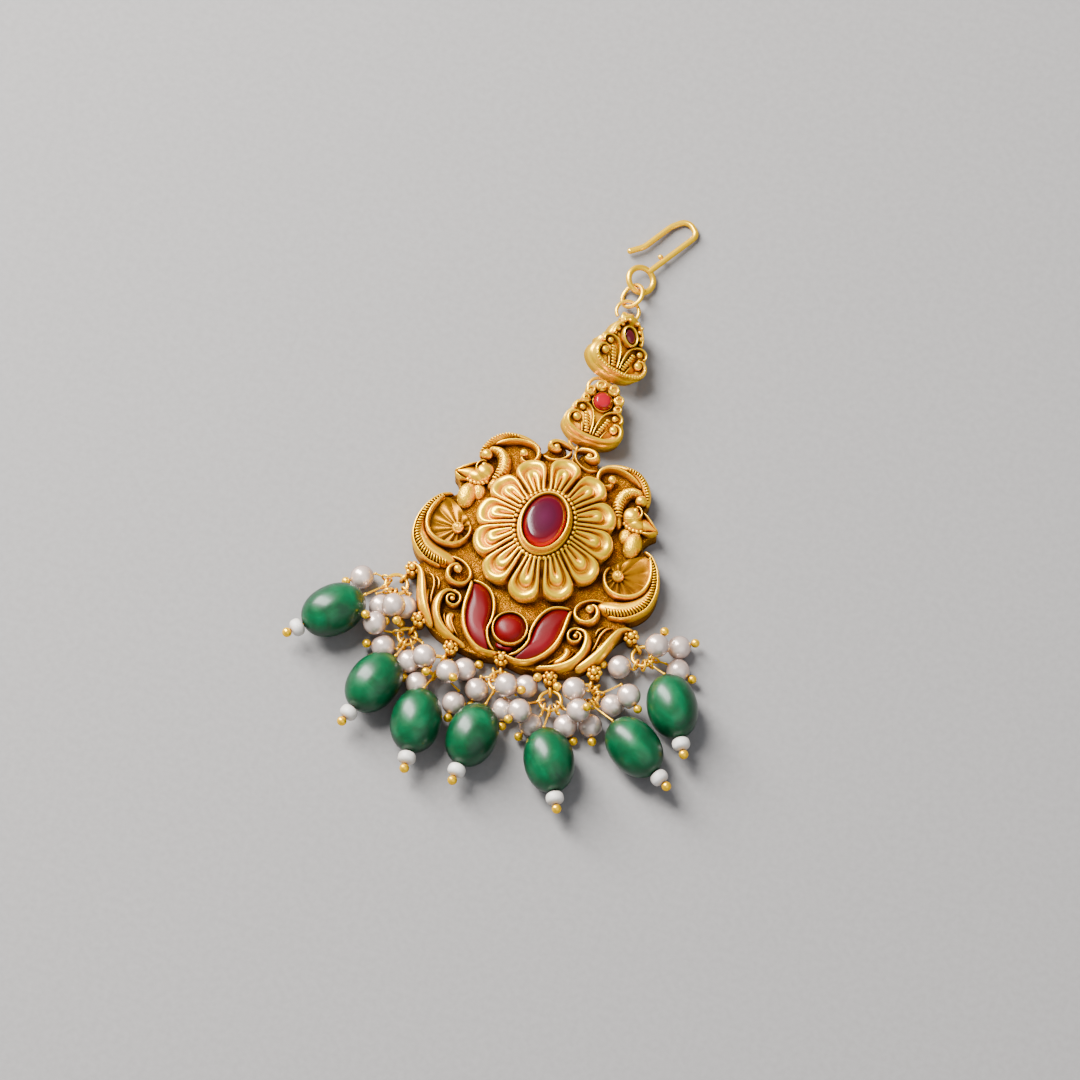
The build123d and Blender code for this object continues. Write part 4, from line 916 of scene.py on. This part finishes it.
# %% Domed stones
# how much of the outline is kept, and how far up from the stone's foot to its top
LOW_DOME = [(1, 0), (1, 0.55), (0.97, 0.68), (0.9, 0.78), (0.78, 0.87), (0.62, 0.94), (0.42, 0.98),
            (0.2, 1)]
FLAT_TOP = [(1, 0), (1, 0.6), (0.97, 0.76), (0.91, 0.87), (0.83, 0.93), (0.7, 0.97), (0.5, 0.99),
            (0.25, 1)]
LOTUS_LOW = 3.2            # foot of the lotus stones, just under the top of the casting


def dome(outline, low, high, layers=LOW_DOME):
    """A stone made of nested copies of its outline, each pushed inward and upward."""
    mesh = bmesh.new()
    line = smooth(outline, 4, closed=True)[:-1]
    middle = Vector((sum(p[0] for p in line), sum(p[1] for p in line), 0)) / len(line)
    face = mesh.faces.new([mesh.verts.new((x, y, low)) for x, y in line])
    before = 1
    for share, rise in layers[1:]:
        grown = bmesh.ops.extrude_face_region(mesh, geom=[face])["geom"]
        face = next(item for item in grown if isinstance(item, bmesh.types.BMFace))
        bmesh.ops.scale(mesh, vec=(share / before, share / before, 1), verts=face.verts,
                        space=Matrix.Translation(-middle))
        for vert in face.verts:
            vert.co.z = low + (high - low) * rise
        before = share
    return mesh


PETAL_STONE = [
    (8.25, -12.4), (8.3, -14.4), (8.1, -17.2), (7.2, -19.9), (5.7, -21.8), (3.7, -22.85),
    (2.3, -22.95), (3.3, -21.2), (3.85, -18.8), (4, -16.2), (4.75, -14.1), (6.3, -12.4),
]
BASE_STONE = [(-1.45, -21.3), (-1.25, -21.85), (-0.75, -22.05), (0, -21.98), (0.75, -22.05),
              (1.25, -21.85), (1.45, -21.3), (0.75, -21.57), (0, -21.65), (-0.75, -21.57)]

piece("centre_glass", dome(oval(3.45, 4.75, 24), 7.4, 9.78, FLAT_TOP), maroon,
      ["centre_stone"])
LOTUS = [
    ("right", PETAL_STONE, 4.25, petal_red, "lotus_petal_right"),
    ("left", [(-x, y) for x, y in PETAL_STONE], 4.25, petal_red, "lotus_petal_left"),
    ("round", [(x, y + ROUND_STONE_Y) for x, y in oval(2.6, 2.6, 20)], 4.95, round_red,
     "lotus_round_stone"),
    ("base", BASE_STONE, 4.1, petal_red, "lotus_base_petal"),
]
for name, outline, top, material, replaced in LOTUS:
    piece(f"lotus_glass_{name}", dome(outline, LOTUS_LOW, top), material, [replaced])
lower_stone = dome([(u, v + LOWER_STONE_V) for u, v in oval(1.55, 1.55, 18)], 3.2, 4.55)
set_down(lower_stone, LOWER)
piece("lower_link_glass", lower_stone, ruby, ["lower_link_stone"])
upper_stone = dome(leaning(1.35, 0.9), 3.4, 4.3)
set_down(upper_stone, UPPER)
piece("upper_link_glass", upper_stone, dark_red, ["upper_link_stone"])

# %% [markdown]
# ## Beads and pearls
# The oval beads are pressed green glass: bright where light passes through the thin edge and
# cloudy inside, with a painted shade that darkens them towards their rim as seen. The pearls are
# glass under a thin pearly lacquer, whose tint turns a little pink towards the edge, and their
# colour also darkens there as painted shade; their shape is exact in the imported model, so they
# only get a material.
# The pressed beads are a little slimmer at their ends than the imported ones, with a sunk hole,
# so their profile is spun again about the line from each bead to its seed bead.

# %% Green glass, pearl and seed bead materials
def rim_mix(tree, blend, face_colour, edge_colour):
    """One colour where a surface is seen face on, another towards its rim; here the rim colour is
    darker, a painted shade.
    """
    view = add(tree, "ShaderNodeLayerWeight", {"Blend": blend})
    return mix(tree, view.outputs["Facing"], face_colour, edge_colour)


def green_glass():
    material, tree, shader = new_material("green glass")
    cloud = texture(tree, Scale=260, Detail=4, Distortion=0.6).outputs["Fac"]
    inside = ramp(tree, cloud, [(0.3, (0.0, 0.035, 0.01)), (0.5, (0.0, 0.07, 0.021)),
                                (0.72, (0.001, 0.12, 0.042))])
    # the near-black rim colour is painted shade, darker where the bead is seen edge on
    fill(shader, {"Base Color": rim_mix(tree, 0.4, inside, (0.0, 0.012, 0.005, 1)),
                  "Roughness": 0.34, "Coat Weight": 0.14, "Coat Roughness": 0.16,
                  "Specular IOR Level": 0.3, "Subsurface Weight": 0.35,
                  "Subsurface Radius": (0.0005, 0.003, 0.0016), "Subsurface Scale": 1.0})
    return material


def lacquered(name, face_colour, edge_colour, roughness, coat, bump, lustre=0.0):
    """A pearly or painted bead, slightly uneven in colour and skin, with a darker rim that is
    painted shade and, on the pearls, also their pink tint.
    """
    material, tree, shader = new_material(name)
    spots = texture(tree, Scale=500, Detail=4).outputs["Fac"]
    tint_and_rim_shade = rim_mix(tree, 0.45, (*face_colour, 1), (*edge_colour, 1))
    dull = ramp(tree, spots, [(0.35, (0.86, 0.84, 0.8)), (0.6, (1, 1, 1))])
    skin = add(tree, "ShaderNodeBump", {"Strength": bump, "Distance": SKIN, "Height": spots})
    fill(shader, {"Base Color": mix(tree, 1, tint_and_rim_shade, dull, "MULTIPLY"), "Metallic": lustre,
                  "Roughness": roughness, "Coat Weight": coat, "Coat Roughness": 0.12,
                  "Normal": skin.outputs["Normal"]})
    return material


emerald = green_glass()
# the pearls' dark pinkish rim is partly their tint and partly painted shade
pearl = lacquered("pearl lacquer", (0.8, 0.66, 0.58), (0.2, 0.09, 0.07), 0.27, 0.8, 0.05, 0.45)
# the seed bead's darker rim is painted shade
seed = lacquered("white seed bead", (0.72, 0.7, 0.66), (0.45, 0.41, 0.37), 0.5, 0.1, 0.1)
print("beads", emerald.name, pearl.name, seed.name)

# %% Oval beads
# half the length, half the width and the radius of the hole
BEAD_LONG, BEAD_WIDE, BEAD_HOLE = 5.6, 4.2, 0.33
ROUNDNESS = 2.1            # 2 is an ellipse, more is fuller at the ends
SUNK = 0.12                # how deep the rim of the hole lies
BEAD_STEPS, BEAD_SIDES = 26, 48


def middle_of(name):
    low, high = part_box(name)
    return (Vector(low) + Vector(high)) / 2 / MM


profile = []
for i in range(1, BEAD_STEPS):
    turn = pi * i / BEAD_STEPS
    out = BEAD_WIDE * sin(turn) ** (2 / ROUNDNESS)
    reach = BEAD_LONG * abs(cos(turn)) ** (2 / ROUNDNESS) * (1 if turn < pi / 2 else -1)
    if out > BEAD_HOLE:
        profile.append((reach, out))
first, last = profile[0][0] - SUNK, profile[-1][0] + SUNK
profile = [(first - 0.5, BEAD_HOLE), (first, BEAD_HOLE + 0.05), *profile,
           (last, BEAD_HOLE + 0.05), (last + 0.5, BEAD_HOLE)]

for number in range(1, 8):
    centre = middle_of(f"green_bead_{number}")
    along = (middle_of(f"seed_bead_{number}") - centre).normalized()
    across = along.orthogonal().normalized()
    oval_bead = bmesh.new()
    rim = [oval_bead.verts.new(centre + along * reach + across * out) for reach, out in profile]
    lines = [oval_bead.edges.new(pair) for pair in zip(rim, rim[1:] + rim[:1])]
    bmesh.ops.spin(oval_bead, geom=rim + lines, cent=centre, axis=along, angle=2 * pi,
                   steps=BEAD_SIDES, use_merge=True)
    piece(f"oval_bead_{number}", oval_bead, emerald, [f"green_bead_{number}"])

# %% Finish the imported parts
for name, part in nodes.items():
    if name.startswith("pearls"):
        finish = pearl
    elif name.startswith("seed_bead"):
        finish = seed
    elif name.startswith(("hook", "jump_ring", "ring_", "drop_ring", "bead_pin", "pearl_pins")):
        finish = wire_gilt
    else:
        continue
    part.data.materials.clear()
    part.data.materials.append(finish)
    print(name, "in", finish.name)

# %% [markdown]
# ## Table, light and camera
# The jewel lies flat on a plain pale table under one large soft light at the upper left, and
# is seen from above at a slant, a little turned.

# %% Table
table = bmesh.new()
bmesh.ops.create_grid(table, x_segments=1, y_segments=1, size=1.5)
table_data = bpy.data.meshes.new("table")
table.to_mesh(table_data)
table.free()
paint, tree, shader = new_material("pale paint")
speck = texture(tree, Scale=900).outputs["Fac"]
tone = ramp(tree, speck, [(0.3, (0.2, 0.194, 0.192)), (0.7, (0.22, 0.214, 0.212))])
fill(shader, {"Base Color": tone, "Roughness": 0.8})
table_data.materials.append(paint)
table_top = bpy.data.objects.new("table", table_data)
bpy.context.scene.collection.objects.link(table_top)
print("table in", paint.name)


# %% Light
def soft_box(name, place, size, power, colour):
    """A rectangular lamp, in metres and watts, turned towards the jewel."""
    lamp = bpy.data.lights.new(name, "AREA")
    lamp.shape = "RECTANGLE"
    lamp.size, lamp.size_y = size
    lamp.energy = power
    lamp.color = colour
    made = bpy.data.objects.new(name, lamp)
    made.location = place
    made.rotation_euler = (-Vector(place)).to_track_quat("-Z", "Y").to_euler()
    bpy.context.scene.collection.objects.link(made)
    print(name, "light", power, "W")


soft_box("key", (-0.5, 0.25, 0.55), (0.3, 0.8), 36.0, (1.0, 0.98, 0.95))
soft_box("fill", (0.7, -0.5, 0.9), (1.4, 1.4), 6.5, (0.95, 0.97, 1.0))
world = bpy.data.worlds.new("room")
world.use_nodes = True
fill(world.node_tree.nodes["Background"], {"Color": (0.9, 0.92, 1.0, 1), "Strength": 0.42})
bpy.context.scene.world = world

# %% Camera
TURN, SLANT = radians(18.35), radians(67)
LENS, DISTANCE = 300, 1.5              # mm, m
AIM = Vector((-0.00085, 0.00008, 0))   # the spot in the middle of the view
right = Vector((cos(TURN), sin(TURN), 0))
forward = Vector((-sin(TURN) * cos(SLANT), cos(TURN) * cos(SLANT), -sin(SLANT)))
up = right.cross(forward)
lens = bpy.data.cameras.new("camera")
lens.sensor_width = 36
lens.lens = LENS
camera = bpy.data.objects.new("camera", lens)
camera.matrix_world = Matrix.Translation(AIM - forward * DISTANCE) @ \
    Matrix((right, up, -forward)).transposed().to_4x4()
bpy.context.scene.collection.objects.link(camera)
bpy.context.scene.camera = camera
print("camera with a", LENS, "mm lens at", DISTANCE, "m")
